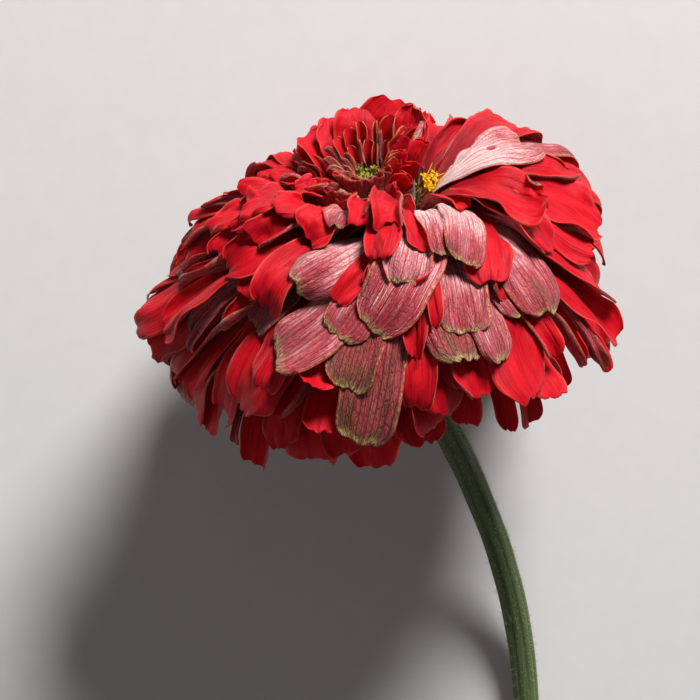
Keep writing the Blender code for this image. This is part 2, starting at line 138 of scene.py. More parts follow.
AXIS, FRONT, RIGHT = head_directions()


def away(azimuth):
    """The unit vector away from the axis, for an azimuth in radians, as a single value or an array."""
    return np.cos(azimuth)[..., None] * FRONT + np.sin(azimuth)[..., None] * RIGHT


def receptacle_radius(height):
    part = (height - RECEPTACLE_FOOT) / (RECEPTACLE_TOP - RECEPTACLE_FOOT)
    foot = math.sqrt(1.0 - 12.0 * max(0.2 - part, 0.0) ** 2)
    return RECEPTACLE_RADIUS * foot * math.sqrt(1.0 - 0.8 * max(part - 0.2, 0.0) ** 2)


def head_centre():
    """The middle of the rim plane, from the place of the receptacle's box in the frame."""
    low, high = (np.array(corner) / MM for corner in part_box("receptacle"))
    heights = np.linspace(RECEPTACLE_FOOT, RECEPTACLE_TOP, 8)
    radii = np.array([receptacle_radius(height) for height in heights])
    rings = radii[:, None, None] * away(circle(RECEPTACLE_SIDES))[None] + heights[:, None, None] * AXIS
    rings = rings.reshape(-1, 3)
    return (low + high - rings.min(axis=0) - rings.max(axis=0)) / 2


CENTRE = head_centre()


def on_axis(radius, azimuth, height):
    """The point at this radius from the axis, azimuth in radians and height along the axis."""
    return CENTRE + radius * away(np.float64(azimuth)) + height * AXIS


def mop_radius(polar, azimuth):
    """How far the mop's smooth outer shape is from the head's centre."""
    rim = BLOOM_RADIUS + BLOOM_RADIUS_SWAY * math.cos(azimuth - math.radians(FULL_SIDE))
    if polar > math.pi / 2:
        return rim
    return 1.0 / math.hypot(math.cos(polar) / DOME_HEIGHT, math.sin(polar) / rim)


def smooth_step(value):
    value = np.clip(value, 0.0, 1.0)
    return value * value * (3.0 - 2.0 * value)


def grown(part, change):
    """How much of a (start, length) change is done at each part of the way."""
    start, length = change
    return smooth_step((part - start) / length)


# Laying petals over one another
MAP_REACH = 130.0
MAP_CELL = 0.6
MAP_SIZE = int(2 * MAP_REACH / MAP_CELL)
STIFF = 4           # mesh cells to one cell of the coarse net that gives a petal its stiffness
LIFT_ROUNDS = 3
LIFT_SHARE = 0.8    # of what is lacking, made up in each round
NET_ROUNDS = 25
NET_SLACK = 0.97    # how much of its neighbours' lift a point of the net takes
SMOOTH_ROUNDS = 4


class MopMap:
    """How far out the petals laid so far reach, over a flat map of the directions round the head."""

    def __init__(self):
        steps = (np.arange(MAP_SIZE) + 0.5) * MAP_CELL - MAP_REACH
        down, across = np.meshgrid(steps, steps, indexing="ij")
        polar = np.radians(np.hypot(down, across))
        side = away(np.arctan2(across, down))
        self.directions = np.cos(polar)[..., None] * AXIS + np.sin(polar)[..., None] * side
        self.reach = np.zeros((MAP_SIZE, MAP_SIZE))

    def cells(self, points):
        """The map cell, and the distance from the centre, of each point."""
        offset = points - CENTRE
        distance = np.linalg.norm(offset, axis=-1)
        polar = np.degrees(np.arccos(np.clip(offset @ AXIS / distance, -1.0, 1.0)))
        azimuth = np.arctan2(offset @ RIGHT, offset @ FRONT)
        down = (polar * np.cos(azimuth) + MAP_REACH) / MAP_CELL
        across = (polar * np.sin(azimuth) + MAP_REACH) / MAP_CELL
        cell = np.stack([down, across], axis=-1).astype(int)
        return np.clip(cell, 2, MAP_SIZE - 3), distance

    def lay(self, points, gap):
        """Marks the surface through these points, thickened by a ball of radius gap."""
        cell, distance = self.cells(points)
        outward = (points - CENTRE) / distance[:, None]
        for down in (-1, 0, 1):
            for across in (-1, 0, 1):
                near = (cell[:, 0] + down, cell[:, 1] + across)
                apart = distance * np.linalg.norm(self.directions[near] - outward, axis=-1)
                bulge = np.sqrt(np.maximum(gap * gap - apart * apart, 0.0))
                np.maximum.at(self.reach, near, np.where(apart < gap, distance + bulge, 0.0))

    def lacking(self, points):
        """How far each point lies inside what is laid already."""
        cell, distance = self.cells(points)
        return np.maximum(self.reach[cell[..., 0], cell[..., 1]] - distance, 0.0)


def refine(grid, times):
    """A grid of points or values with each cell cut into times by times, by straight interpolation."""
    for axis in (0, 1):
        count = grid.shape[axis]
        place = np.linspace(0, count - 1, (count - 1) * times + 1)
        low = np.minimum(place.astype(int), count - 2)
        part = (place - low).reshape([-1 if step == axis else 1 for step in range(grid.ndim)])
        grid = np.take(grid, low, axis=axis) * (1 - part) + np.take(grid, low + 1, axis=axis) * part
    return grid


def neighbour_mean(values):
    padded = np.pad(values, 1, mode="edge")
    return (padded[:-2, 1:-1] + padded[2:, 1:-1] + padded[1:-1, :-2] + padded[1:-1, 2:]) / 4.0


def drape(grid, mop):
    """Lifts a petal outwards, smoothly, until it clears every petal laid before it."""
    outward = unit(grid - CENTRE)
    rows, columns = ROWS // STIFF + 1, COLUMNS // STIFF + 1
    coarse = np.zeros((rows, columns))
    place = np.indices(grid.shape[:2]).reshape(2, -1) // STIFF
    free = grown(PARTS, COMING_FREE)[:, None]
    for _ in range(LIFT_ROUNDS):
        lifted = grid + refine(coarse, STIFF)[..., None] * outward
        lack = (free * mop.lacking(lifted)).ravel()
        least = coarse.copy()
        for down in (0, 1):
            for across in (0, 1):
                corner = tuple(np.minimum(place.T + (down, across), (rows - 1, columns - 1)).T)
                np.maximum.at(least, corner, coarse[corner] + LIFT_SHARE * lack)
        least[0] = 0.0
        coarse = least.copy()
        for _ in range(NET_ROUNDS):
            coarse = np.maximum(least, NET_SLACK * neighbour_mean(coarse))
            coarse[0] = 0.0
    lift = refine(coarse, STIFF)
    for _ in range(SMOOTH_ROUNDS):
        lift = neighbour_mean(lift)
    return grid + lift[..., None] * outward


# Ray petals, from the oldest to the youngest, each laid over those before it
class Petal(NamedTuple):
    number: int         # in its whorl, or 0 for a petal that the model leaves out
    azimuth: float      # of the tip
    polar: float        # of the tip
    swing: float        # from the tip's azimuth to the foot's
    width: float
    face: str = RED     # the face turned outwards
    cup: float = 0.0    # how far the side edges stand up, about, in millimetres
    curl: float = 0.0   # how far the tip turns out
    proud: float = 0.0  # how far the petal stands off the mop
    left: float = 0.0   # how far the left edge rolls out, degrees
    right: float = 0.0
    fold: float = 0.0   # of the blade along its middle, degrees
    twist: float = 0.0  # of the blade, degrees
    wilt: float = 0.4   # how much of the reverse has dried brown


RIM_PETALS = (
    Petal(1, 84, 95, 0, 13),
    Petal(2, 112, 101, 0, 14),
    Petal(3, 140, 105, 0, 14, proud=2.5),
    Petal(4, 168, 107, 0, 14, proud=2.5),
    Petal(5, 196, 107, 0, 14, proud=2.5),
    Petal(6, 224, 103, 0, 14, proud=2.5),
    Petal(7, 252, 98, 0, 13),
    Petal(8, -58, 92, 6, 9, cup=1),
    Petal(9, -40, 94, 2, 8, cup=1),
    Petal(10, -25, 90, 4, 11, cup=1),
    Petal(11, -9, 90, 6, 11, cup=1),
    Petal(12, 4, 84, 0, 10, cup=1),
    Petal(0, -76, 93, 14, 9, DULL),
    Petal(0, -66, 89, 8, 9),
    Petal(0, -46, 89, 3, 5, fold=90),
    Petal(0, -33, 86, 4, 8, cup=1),
    Petal(0, -17, 86, 6, 9, cup=1),
    Petal(0, 25, 87, 0, 5, fold=50),
    Petal(0, 33, 88, -2, 6, fold=50),
    Petal(0, 15, 82, 3, 8, cup=1),
    Petal(0, 46, 86, -5, 7, fold=40),
    Petal(0, 98, 96, 0, 12),
    Petal(0, 126, 100, 0, 12),
    Petal(0, 154, 102, 0, 12),
    Petal(0, 182, 103, 0, 12),
    Petal(0, 210, 100, 0, 12),
    Petal(0, 238, 97, 0, 12),
    Petal(0, 264, 92, 0, 11),
    Petal(0, 70, 88, 0, 9),
)
REAR_PETALS = (
    Petal(1, 126, 82, 0, 14),
    Petal(2, 158, 86, 0, 14),
    Petal(3, 190, 87, 0, 14),
    Petal(4, 222, 82, 0, 14),
    Petal(0, 142, 76, 12, 12),
    Petal(0, 174, 78, -10, 12),
    Petal(0, 206, 76, 12, 12),
    Petal(0, 238, 76, -10, 12),
    Petal(0, 112, 84, -10, 10),
    Petal(5, 142, 62, 0, 13),
    Petal(6, 176, 64, 0, 13),
    Petal(7, 210, 62, 0, 13),
    Petal(0, 126, 64, -15, 11),
    Petal(0, 158, 52, 12, 11),
    Petal(0, 192, 50, -10, 11),
    Petal(0, 226, 56, 14, 11),
    Petal(0, 240, 62, 10, 10),
    Petal(0, 176, 40, 8, 10),
    Petal(0, 208, 42, -8, 10),
    Petal(0, 108, 70, 6, 12),
    Petal(0, 128, 50, -8, 12),
    Petal(0, 112, 52, 8, 12),
    Petal(0, 96, 60, 0, 12),
    Petal(0, 144, 44, 0, 11),
)
SKIRT_PETALS = (
    Petal(1, -51, 82, 8, 10, cup=1),
    Petal(0, -64, 82, 14, 9, cup=1),
    Petal(2, -85, 90, 22, 10, DULL, cup=-1, proud=1),
    Petal(0, -87, 84, 18, 10, curl=1),
    Petal(0, -2, 79, 2, 8, cup=1),
    Petal(0, 5, 79, -3, 7, cup=1),
    Petal(3, -19, 81, 6, 10, cup=1.6, curl=4),
    Petal(0, -31, 78, 14, 10, cup=1.6, curl=4, right=40),
    Petal(4, -41, 76, 14, 13, cup=-1),
    Petal(0, -35, 69, 8, 8, cup=0.5),
    Petal(5, -25, 73, 12, 11, cup=1.6, curl=4),
    Petal(6, 8, 75, 6, 10),
    Petal(0, 13, 70, 6, 8, cup=1),
    Petal(7, 17, 74, 4, 10, curl=1),
    Petal(0, 57, 84, -4, 7, cup=1),
    Petal(0, 50, 80, -8, 8, fold=60),
    Petal(0, 53, 84, -10, 7, fold=60),
    Petal(8, 37, 82, -3, 10),
    Petal(9, 29, 78, 4, 12, proud=1),
    Petal(0, 40, 72, -4, 7, cup=1.2),
    Petal(10, 63, 81, -14, 10),
    Petal(0, -72, 79, 26, 9, cup=1.4),
    Petal(0, -79, 80, 22, 13, cup=1.4),
    Petal(0, -63, 70, 22, 7, fold=70),
    Petal(0, -65, 65, 22, 7, fold=70),
    Petal(0, -46, 58, 12, 8, DULL),
    Petal(0, -52, 62, 16, 9, cup=1.4),
    Petal(11, -86, 76, 24, 12, proud=-1),
    Petal(12, -71, 70, 24, 9, left=120, proud=1),
)
LEFT_PETALS = (
    Petal(1, -96, 71, 26, 10, curl=1),
    Petal(0, -90, 63, 22, 8, cup=0.5),
    Petal(0, -84, 59, 22, 7, PALE),
    Petal(0, -74, 60, 28, 8, fold=70),
    Petal(2, -80, 56, 22, 10, fold=30),
    Petal(0, -97, 59, 16, 6, fold=60),
    Petal(0, -88, 53, 16, 10, cup=1.2),
    Petal(3, -106, 55, 18, 12, proud=1),
    Petal(0, -95, 46, 16, 6, fold=80),
    Petal(0, -66, 47, 20, 8, left=90),
    Petal(0, -78, 45, 16, 9, cup=1.2),
    Petal(0, -48, 52, 12, 8, cup=1),
    Petal(4, -59, 48, 24, 9, left=60, proud=0.5),
    Petal(5, -41, 52, 14, 9, cup=1),
    Petal(0, -66, 42, 20, 8, fold=50),
    Petal(0, -54, 40, 20, 8, fold=50),
    Petal(0, -98, 39, 12, 10),
    Petal(0, -118, 36, 10, 9),
    Petal(0, -130, 46, 16, 8, proud=1),
    Petal(0, -138, 40, 12, 8, proud=1),
    Petal(0, -84, 35, 14, 8, fold=40),
    Petal(6, -68, 36, 14, 10),
    Petal(0, -108, 30, 12, 8),
    Petal(0, -53, 31, 14, 7, left=60),
    Petal(0, -90, 27, 10, 6, fold=80),
    Petal(0, -150, 35, 6, 9, proud=1),
    Petal(0, -168, 34, 0, 9, PALE, proud=1),
    Petal(0, -160, 34, 4, 10, left=60, proud=1),
    Petal(0, -130, 30, 8, 8, fold=50),
    Petal(0, -74, 24, 8, 7, left=50),
    Petal(0, -110, 23, 8, 7, right=60),
)
FRONT_PETALS = (
    Petal(0, 2, 72, 4, 8, cup=1),
    Petal(1, -11, 79, 20, 10.5, PALE, cup=-1, proud=1, wilt=0.75),
    Petal(2, -14, 67, 20, 9, DULL, cup=-1, wilt=0.75),
    Petal(3, -32, 62, 46, 11, PALE, cup=-1, wilt=0.4),
    Petal(0, -17, 56, 26, 9, DULL, cup=-1, wilt=0.4),
    Petal(4, 15, 65, 3, 12, PALE, cup=-1, curl=1, wilt=0.6),
    Petal(0, 3, 62, 6, 7, fold=50),
    Petal(0, 23, 67, 8, 7, PALE, cup=-1, curl=1),
    Petal(0, 35, 59, -2, 7, PALE, cup=-1),
    Petal(0, 17, 58, 8, 9, PALE, cup=-1),
    Petal(0, 9, 55, 6, 6, fold=60),
    Petal(0, 31, 54, 8, 6, left=60),
    Petal(6, 42, 62, 0, 12, PALE, cup=-1, curl=1, wilt=0.5),
    Petal(5, 28, 50, 36, 9, cup=-1),
    Petal(7, -32, 46, 44, 11, PALE, cup=-1, wilt=0.25),
    Petal(0, -18, 48, 30, 4.5, left=60, right=40),
    Petal(0, -10, 44, 24, 6, fold=80),
    Petal(8, -8, 54, 48, 11, DULL, cup=-1, proud=1, wilt=0.3),
    Petal(0, 2, 45, 18, 9, PALE, left=110, right=110, fold=-30, wilt=0.1),
    Petal(0, -5, 39, 16, 7, fold=60),
    Petal(0, 12, 40, 8, 7, left=80),
    Petal(0, 18, 41, 16, 8, PALE, cup=-1, left=110),
    Petal(9, 22, 44, 28, 7.5, PALE, cup=-1, curl=1),
    Petal(0, -36, 34, 16, 10, cup=2.2),
    Petal(0, -24, 31, 10, 9, DULL, cup=1.6, wilt=0.3),
    Petal(0, -12, 30, 6, 9, cup=1),
    Petal(0, 2, 31, 2, 8, cup=2.2, curl=-2),
    Petal(0, 40, 30, 8, 7, fold=40),
)
RIGHT_PETALS = (
    Petal(0, 103, 74, -14, 8, proud=1),
    Petal(0, 68, 70, -14, 9, cup=1),
    Petal(1, 92, 71, -18, 13, proud=1),
    Petal(0, 101, 60, -22, 10),
    Petal(2, 107, 66, -26, 12, proud=7),
    Petal(0, 70, 60, -10, 10),
    Petal(3, 83, 60, -16, 12, proud=1),
    Petal(0, 55, 51, -4, 9),
    Petal(0, 96, 50, -30, 8, cup=1),
    Petal(4, 65, 47, -13, 12, cup=-1, curl=5),
    Petal(0, 118, 57, -32, 10, PALE, cup=-1, proud=4, wilt=0.7),
    Petal(0, 148, 36, -14, 8, cup=3, proud=2),
    Petal(0, 135, 42, -16, 8, cup=2, proud=2),
    Petal(5, 131, 52, -36, 12, proud=6),
    Petal(0, 92, 30, -20, 8, PALE, cup=-1),
    Petal(6, 100, 37, -40, 11, PALE, cup=-1, proud=3, wilt=0.2),
)
WHORLS = (
    ("rim_petal", RIM_PETALS),
    ("rear_petal", REAR_PETALS),
    ("skirt_petal", SKIRT_PETALS),
    ("left_petal", LEFT_PETALS),
    ("front_petal", FRONT_PETALS),
    ("right_petal", RIGHT_PETALS),
)


def heading(angle):
    """The unit (radius, height) vector at an angle from the flower's axis, in degrees."""
    return np.array([math.sin(math.radians(angle)), math.cos(math.radians(angle))])


PARTS = 1.0 - np.linspace(1.0, 0.0, ROWS + 1) ** TIP_DETAIL     # along a petal, 0 at its foot to 1


def arch(foot, tip, launch, arrive):
    """A curve of (radius, height) points that leaves its foot and reaches its tip at these angles."""
    foot, tip = np.array(foot), np.array(tip)
    span = np.linalg.norm(tip - foot)
    first = foot + HANDLE * span * heading(launch)
    last = tip - HANDLE * span * heading(arrive)
    part = PARTS[:, None]
    curve = (1 - part) ** 3 * foot + 3 * (1 - part) ** 2 * part * first
    return curve + 3 * (1 - part) * part**2 * last + part**3 * tip


def turned(first, second, angle):
    """Two directions at right angles, each turned by an angle from the first towards the second."""
    return np.cos(angle) * first + np.sin(angle) * second, np.cos(angle) * second - np.sin(angle) * first


def from_middle(steps):
    """Running sums across each row, zero at the middle column."""
    total = np.pad(np.cumsum(steps, axis=1), ((0, 0), (1, 0)))
    return total - total[:, COLUMNS // 2, None]


def blade(curve, azimuth, form, chance, wild):
    """A petal's middle surface round a (radius, height) curve whose azimuths are given in radians.

    The blade is bent across by angles, so that a rolled or folded edge keeps its width. No two are alike, and
    wild is how far one may stray from its form.
    """
    line = CENTRE + curve[:, :1] * away(azimuth) + curve[:, 1:] * AXIS
    step = np.diff(line, axis=0)
    length = np.linalg.norm(step, axis=1, keepdims=True)
    along = np.vstack([step[:1] / length[:1], step / length])
    along[1:-1] += along[2:]
    along = unit(along)
    around = np.cos(azimuth)[:, None] * RIGHT - np.sin(azimuth)[:, None] * FRONT
    across = unit(around - np.sum(around * along, axis=1, keepdims=True) * along)
    normal = np.cross(along, across)

    part = PARTS[:, None]
    curl = CURL_TURN * (form.curl + wild * chance.uniform(-1.8, 2.2)) * grown(part, TIP_CURLING)
    along, normal = turned(along, normal, curl)
    line = line[0] + np.vstack([np.zeros(3), np.cumsum(length * 0.5 * (along[:-1] + along[1:]), axis=0)])
    turn = math.radians(form.twist + wild * chance.uniform(-20, 20)) * grown(part, TWISTING)
    across, normal = turned(across, normal, turn)

    whole = length.sum()
    spread = grown(part, BLADE_SPREAD)
    blunt = chance.uniform(0.42, 0.66) * form.width
    inset = LAST_ROW * blunt
    near_tip = np.clip(((1.0 - part) * whole + inset) / blunt, 0.0, 1.0)
    square = chance.uniform(2.0, 3.2)
    rounding = (1.0 - (1.0 - near_tip) ** square) ** (1.0 / square)
    half_width = 0.5 * (CLAW_WIDTH + (form.width - CLAW_WIDTH) * spread) * rounding
    place = (np.arange(COLUMNS) + 0.5)[None, :] * 2 / COLUMNS - 1.0
    bend = 4.0 * (form.cup + wild * chance.uniform(-0.7, 0.9)) / form.width * place
    pleats = np.sin(place * chance.uniform(9, 15) + 1.2 * np.sin(part * 5.0) + chance.uniform(0, 6))
    bend = bend + wild * chance.uniform(0.10, 0.30) * pleats
    for beat in (chance.uniform(6, 11), chance.uniform(14, 26)):
        ruffle = np.sin(part * beat + chance.uniform(0, 6) + chance.uniform(-1.5, 1.5) * np.sign(place))
        bend = bend + wild * chance.uniform(0.15, 0.55) * ruffle * place**2
    crease = math.radians(form.fold + wild * chance.uniform(-22, 34))
    bend = bend + crease * np.tanh((place - chance.uniform(-0.12, 0.12)) / 0.10)
    unroll = grown(part, UNROLLING) * (1.0 + 0.25 * np.sin(part * chance.uniform(5, 9)))
    for side, rolled in ((-1.0, form.left), (1.0, form.right)):
        amount = math.radians(rolled + wild * chance.uniform(-45, 60))
        bend = bend + side * amount * unroll * grown(side * place, ROLLED_EDGE)
    bend = bend * spread
    swell = wild * chance.uniform(-0.10, 0.10) * np.sin(part * chance.uniform(4, 7) + chance.uniform(0, 6))
    swell = swell + 0.035 * wild * np.sin(part * chance.uniform(18, 30) + chance.uniform(0, 6))
    cell = half_width * 2 / COLUMNS * (1.0 + swell * np.sign(place))
    sideways = from_middle(cell * np.cos(bend))
    outwards = from_middle(cell * np.sin(bend))

    place = np.linspace(-1.0, 1.0, COLUMNS + 1)[None, :]
    notch = 0.08 * np.exp(-((place - chance.uniform(-0.3, 0.3)) ** 2) / 0.05) * chance.uniform(0.0, 1.0)
    ragged = 0.02 * np.sin(place * chance.uniform(6, 11) + chance.uniform(0, 6))
    ragged = ragged + wild * chance.uniform(-0.11, 0.11) * place
    pulled = inset * place**2 * grown(part, TIP_SQUARING) + form.width * (notch + ragged) * part**10
    grid = line[:, None] + sideways[..., None] * across[:, None] + outwards[..., None] * normal[:, None]
    return grid - pulled[..., None] * along[:, None]


def ray_petal(petal, age, chance):
    """The middle surface of a ray petal before it is laid over the others; age is 0 to 1, young."""
    polar, tip_azimuth = math.radians(petal.polar), math.radians(petal.azimuth)
    reach = mop_radius(polar, tip_azimuth) * (1.0 - BURIED * (1.0 - age)) + petal.proud
    foot_height = LOWEST_ROOT + (HIGHEST_ROOT - LOWEST_ROOT) * age
    foot = (receptacle_radius(foot_height) + SEAT_GAP, foot_height)
    tip = reach * heading(petal.polar)
    launch = OLD_LAUNCH - (OLD_LAUNCH - YOUNG_LAUNCH) * age
    curve = arch(foot, tip, launch, petal.polar + 90.0 + TIP_FALL)
    sway = math.radians(chance.uniform(-SWAY, SWAY)) * np.sin(math.pi * PARTS)
    azimuth = tip_azimuth + math.radians(petal.swing) * (1.0 - PARTS) + sway
    return blade(curve, azimuth, petal, chance, 1.0 if petal.face == RED else 0.6)


def rest_on_floor(grid):
    rested = grid.copy()
    rested[..., 2] = np.maximum(grid[..., 2], 0.5 * THICK)
    return rested


def grid_normals(grid):
    normal = np.cross(np.gradient(grid, axis=0), np.gradient(grid, axis=1))
    return normal / np.maximum(np.linalg.norm(normal, axis=-1, keepdims=True), 1e-9)


def crumple(grid, seed, amount):
    """Adds soft wrinkles to a blade, longer along it than across."""
    rise = np.zeros(grid.shape[:2])
    for row in range(ROWS + 1):
        for column in range(COLUMNS + 1):
            spot = Vector((column / COLUMNS * 4.0, PARTS[row] * 4.5, seed * 3.7))
            rise[row, column] = noise.noise(spot) + 0.55 * noise.noise(spot * 2.6)
    spread = grown(PARTS, WRINKLING)[:, None]
    return grid + (amount * spread * rise)[..., None] * grid_normals(grid)


# Meshes
def link(name, data):
    """An object in the scene, with this mesh, lamp or camera in it."""
    thing = bpy.data.objects.new(name, data)
    bpy.context.scene.collection.objects.link(thing)
    return thing


def build(name, points, faces, materials, uv=None, slots=None):
    """An object made from lists of points in millimetres, with uv by corner and material slots by face."""
    mesh = bpy.data.meshes.new(name)
    mesh.from_pydata((np.concatenate(points) * MM).tolist(), [], faces)
    for material in materials:
        mesh.materials.append(material)
    if uv is not None:
        mesh.uv_layers.new(name="place").data.foreach_set("uv", uv.astype(np.float32).ravel())
        mesh.polygons.foreach_set("material_index", np.array(slots, np.int32))
        mesh.shade_smooth()
    return link(name, mesh)


class Sheets:
    """Closed thin sheets joined in one object, each with a face turned out and a face turned in."""

    def __init__(self, name, outer, inner):
        self.name = name
        self.materials = (outer, inner)
        self.points, self.faces, self.slots, self.uv = [], [], [], []
        self.values = {"tone": [], "wilt": [], "rim": []}
        self.count = 0

    def add(self, grid, tone, wilt, rim, thick=THICK, thin=THIN, inner=1):
        rows, columns = grid.shape[:2]
        part = PARTS[:: ROWS // (rows - 1), None]
        place = np.abs(np.linspace(-1.0, 1.0, columns))[None, :]
        thickness = thin + (thick - thin) * (1.0 - place**4) * (1.0 - grown(part, TIP_THINNING))
        half = 0.5 * thickness[..., None] * grid_normals(grid)
        spots = np.arange(rows * columns).reshape(rows, columns) + self.count
        size = rows * columns
        low, high = spots[:-1], spots[1:]
        quads = np.stack([low[:, :-1], high[:, :-1], high[:, 1:], low[:, 1:]], axis=-1).reshape(-1, 4)
        ring = [*spots[:-1, 0], *spots[-1, :-1], *spots[:0:-1, -1], *spots[0, :0:-1]]
        rim_quads = [(q, p, p + size, q + size) for p, q in zip(ring, ring[1:] + ring[:1])]
        self.points += [(grid + half).reshape(-1, 3), (grid - half).reshape(-1, 3)]
        self.faces += [quads, quads[:, ::-1] + size, np.array(rim_quads)]
        self.slots += [0] * len(quads) + [inner] * len(quads) + [0] * len(rim_quads)
        uv = np.stack(np.meshgrid(np.linspace(0, 1, columns), part[:, 0]), axis=-1)
        self.uv += [uv.reshape(-1, 2)] * 2
        for key, value in (("tone", tone), ("wilt", wilt), ("rim", rim)):
            self.values[key] += [value] * (2 * size)
        self.count += 2 * size

    def make(self):
        faces = np.concatenate(self.faces)
        uv = np.concatenate(self.uv)[faces.ravel()]
        piece = build(self.name, self.points, faces.tolist(), self.materials, uv, self.slots)
        for key, values in self.values.items():
            attribute = piece.data.attributes.new(key, "FLOAT", "POINT")
            attribute.data.foreach_set("value", np.array(values, np.float32))
        return piece


class Rings:
    """Closed solids joined in one object, each a run of rings with a middle point at either end."""

    def __init__(self, name, *materials):
        self.name = name
        self.materials = materials
        self.points, self.faces, self.slots, self.uv = [], [], [], []
        self.count = 0

    def add(self, rings, slots=0):
        """Takes (rings, sides, 3) points, counter-clockwise about the way they run, and each band's slot."""
        number, sides = rings.shape[:2]
        slots = np.broadcast_to(slots, number + 1)
        spots = np.arange(number * sides).reshape(number, sides) + self.count
        foot, top = self.count + number * sides, self.count + number * sides + 1
        self.points += [rings.reshape(-1, 3), rings[0].mean(axis=0)[None], rings[-1].mean(axis=0)[None]]
        self.count += number * sides + 2
        for side in range(sides):
            after = (side + 1) % sides
            left, right = side / sides, (side + 1) / sides
            self.faces.append((foot, spots[0, after], spots[0, side]))
            self.uv += [(left, 0.0), (right, 0.0), (left, 0.0)]
            for ring in range(number - 1):
                low, high = ring / (number - 1), (ring + 1) / (number - 1)
                below, above = spots[ring], spots[ring + 1]
                self.faces.append((below[side], below[after], above[after], above[side]))
                self.uv += [(left, low), (right, low), (right, high), (left, high)]
            self.faces.append((top, spots[-1, side], spots[-1, after]))
            self.uv += [(left, 1.0), (left, 1.0), (right, 1.0)]
            self.slots += slots.tolist()

    def make(self):
        faces = [list(map(int, face)) for face in self.faces]
        piece = build(self.name, self.points, faces, self.materials, np.array(self.uv), self.slots)
        piece.data.set_sharp_from_angle(angle=math.radians(50))
        return piece


# Materials
class Wire:
    """A value that a material's nodes work out, with the signs of plain arithmetic."""

    def __init__(self, shader, socket):
        self.shader, self.socket = shader, socket

    def __add__(self, other):
        return self.shader.math("ADD", self, other)

    def __sub__(self, other):
        return self.shader.math("SUBTRACT", self, other)

    def __rsub__(self, other):
        return self.shader.math("SUBTRACT", other, self)

    def __mul__(self, other):
        return self.shader.math("MULTIPLY", self, other)

    def __abs__(self):
        return self.shader.math("ABSOLUTE", self)


class Shader:
    """Builds one material's nodes in short lines."""

    def __init__(self, name):
        self.material = bpy.data.materials.new(name)
        self.material.use_nodes = True
        self.tree = self.material.node_tree
        self.tree.nodes.clear()

    def set(self, socket, value):
        if isinstance(value, Wire):
            self.tree.links.new(value.socket, socket)
        elif isinstance(value, tuple) and len(value) == 3 and socket.type == "RGBA":
            socket.default_value = (*value, 1.0)
        else:
            socket.default_value = value

    def add(self, kind, **inputs):
        node = self.tree.nodes.new(kind)
        for key, value in inputs.items():
            self.set(node.inputs[key.replace("_", " ")], value)
        return node

    def math(self, operation, first, second=0.0):
        node = self.tree.nodes.new("ShaderNodeMath")
        node.operation = operation
        self.set(node.inputs[0], first)
        self.set(node.inputs[1], second)
        return Wire(self, node.outputs[0])

    def most(self, first, second):
        return self.math("MAXIMUM", first, second)

    def ridges(self, value):
        """Waves that are all crests, one to each half turn of the value in radians."""
        return abs(self.math("SINE", value))

    def ramp(self, factor, *stops):
        """A ramp through stops, each a position and a colour or a grey value."""
        node = self.add("ShaderNodeValToRGB", Fac=factor)
        elements = node.color_ramp.elements
        while len(elements) < len(stops):
            elements.new(0.5)
        for element, (position, colour) in zip(elements, stops):
            element.position = position
            element.color = (*colour, 1.0) if isinstance(colour, tuple) else (colour, colour, colour, 1.0)
        return Wire(self, node.outputs["Color"])

    def mix(self, factor, first, second):
        node = self.tree.nodes.new("ShaderNodeMix")
        node.data_type = "RGBA"
        for index, value in ((0, factor), (6, first), (7, second)):
            self.set(node.inputs[index], value)
        return Wire(self, node.outputs[2])

    def lay(self, under, over, factor, start, full, most):
        """Lays one colour over another: none of it where the factor is start, and this most of it at full."""
        return self.mix(self.ramp(factor, (start, 0.0), (full, most)), under, over)

    def attribute(self, name):
        node = self.tree.nodes.new("ShaderNodeAttribute")
        node.attribute_name = name
        return Wire(self, node.outputs["Fac"])

    def petal_place(self):
        """Across, 0 to 1; along, 0 at the foot and 1 at the tip; and 0 at the middle to 1 at either edge."""
        uv = self.tree.nodes.new("ShaderNodeUVMap")
        uv.uv_map = "place"
        parts = self.add("ShaderNodeSeparateXYZ", Vector=Wire(self, uv.outputs["UV"]))
        self.across, self.along = Wire(self, parts.outputs[0]), Wire(self, parts.outputs[1])
        return self.across, self.along, abs(self.across * 2.0 - 1.0)

    def stretched(self, across, dense, stretch, seed):
        """A place on the petal, in cells of a pattern with this many across it and this many along it."""
        node = self.add("ShaderNodeCombineXYZ", X=across * dense, Y=self.along * stretch, Z=seed)
        return Wire(self, node.outputs[0])

    def streaks(self, dense, stretch, detail, tone=0.0, distortion=0.0):
        """Noise with this many features across a petal and this many along it; tone sets petals apart."""
        place = self.stretched(self.across, dense, stretch, self.math("MULTIPLY", tone, SEED_STEP))
        node = self.add("ShaderNodeTexNoise", Vector=place, Scale=1.0, Detail=detail, Distortion=distortion)
        return Wire(self, node.outputs["Fac"])

    def net(self, dense, stretch, wander, tone):
        """The distance from the lines of a net with this many cells across a petal and along it."""
        place = self.stretched(self.across + wander * 0.15, dense, stretch, tone * SEED_STEP)
        node = self.add("ShaderNodeTexVoronoi", Vector=place, Scale=1.0)
        node.feature = "DISTANCE_TO_EDGE"
        return Wire(self, node.outputs["Distance"])

    def grain(self, scale, detail):
        """Noise of this many features to the metre."""
        node = self.add("ShaderNodeTexNoise", Scale=scale, Detail=detail)
        return Wire(self, node.outputs["Fac"])

    def finish(self, colour, roughness, height=None, strength=0.0, distance=0.0, **settings):
        shader = self.add("ShaderNodeBsdfPrincipled", Base_Color=colour, Roughness=roughness, **settings)
        if height is not None:
            bump = self.add("ShaderNodeBump", Strength=strength, Distance=distance, Height=height)
            self.tree.links.new(bump.outputs[0], shader.inputs["Normal"])
        output = self.tree.nodes.new("ShaderNodeOutputMaterial")
        self.tree.links.new(shader.outputs[0], output.inputs["Surface"])
        return self.material


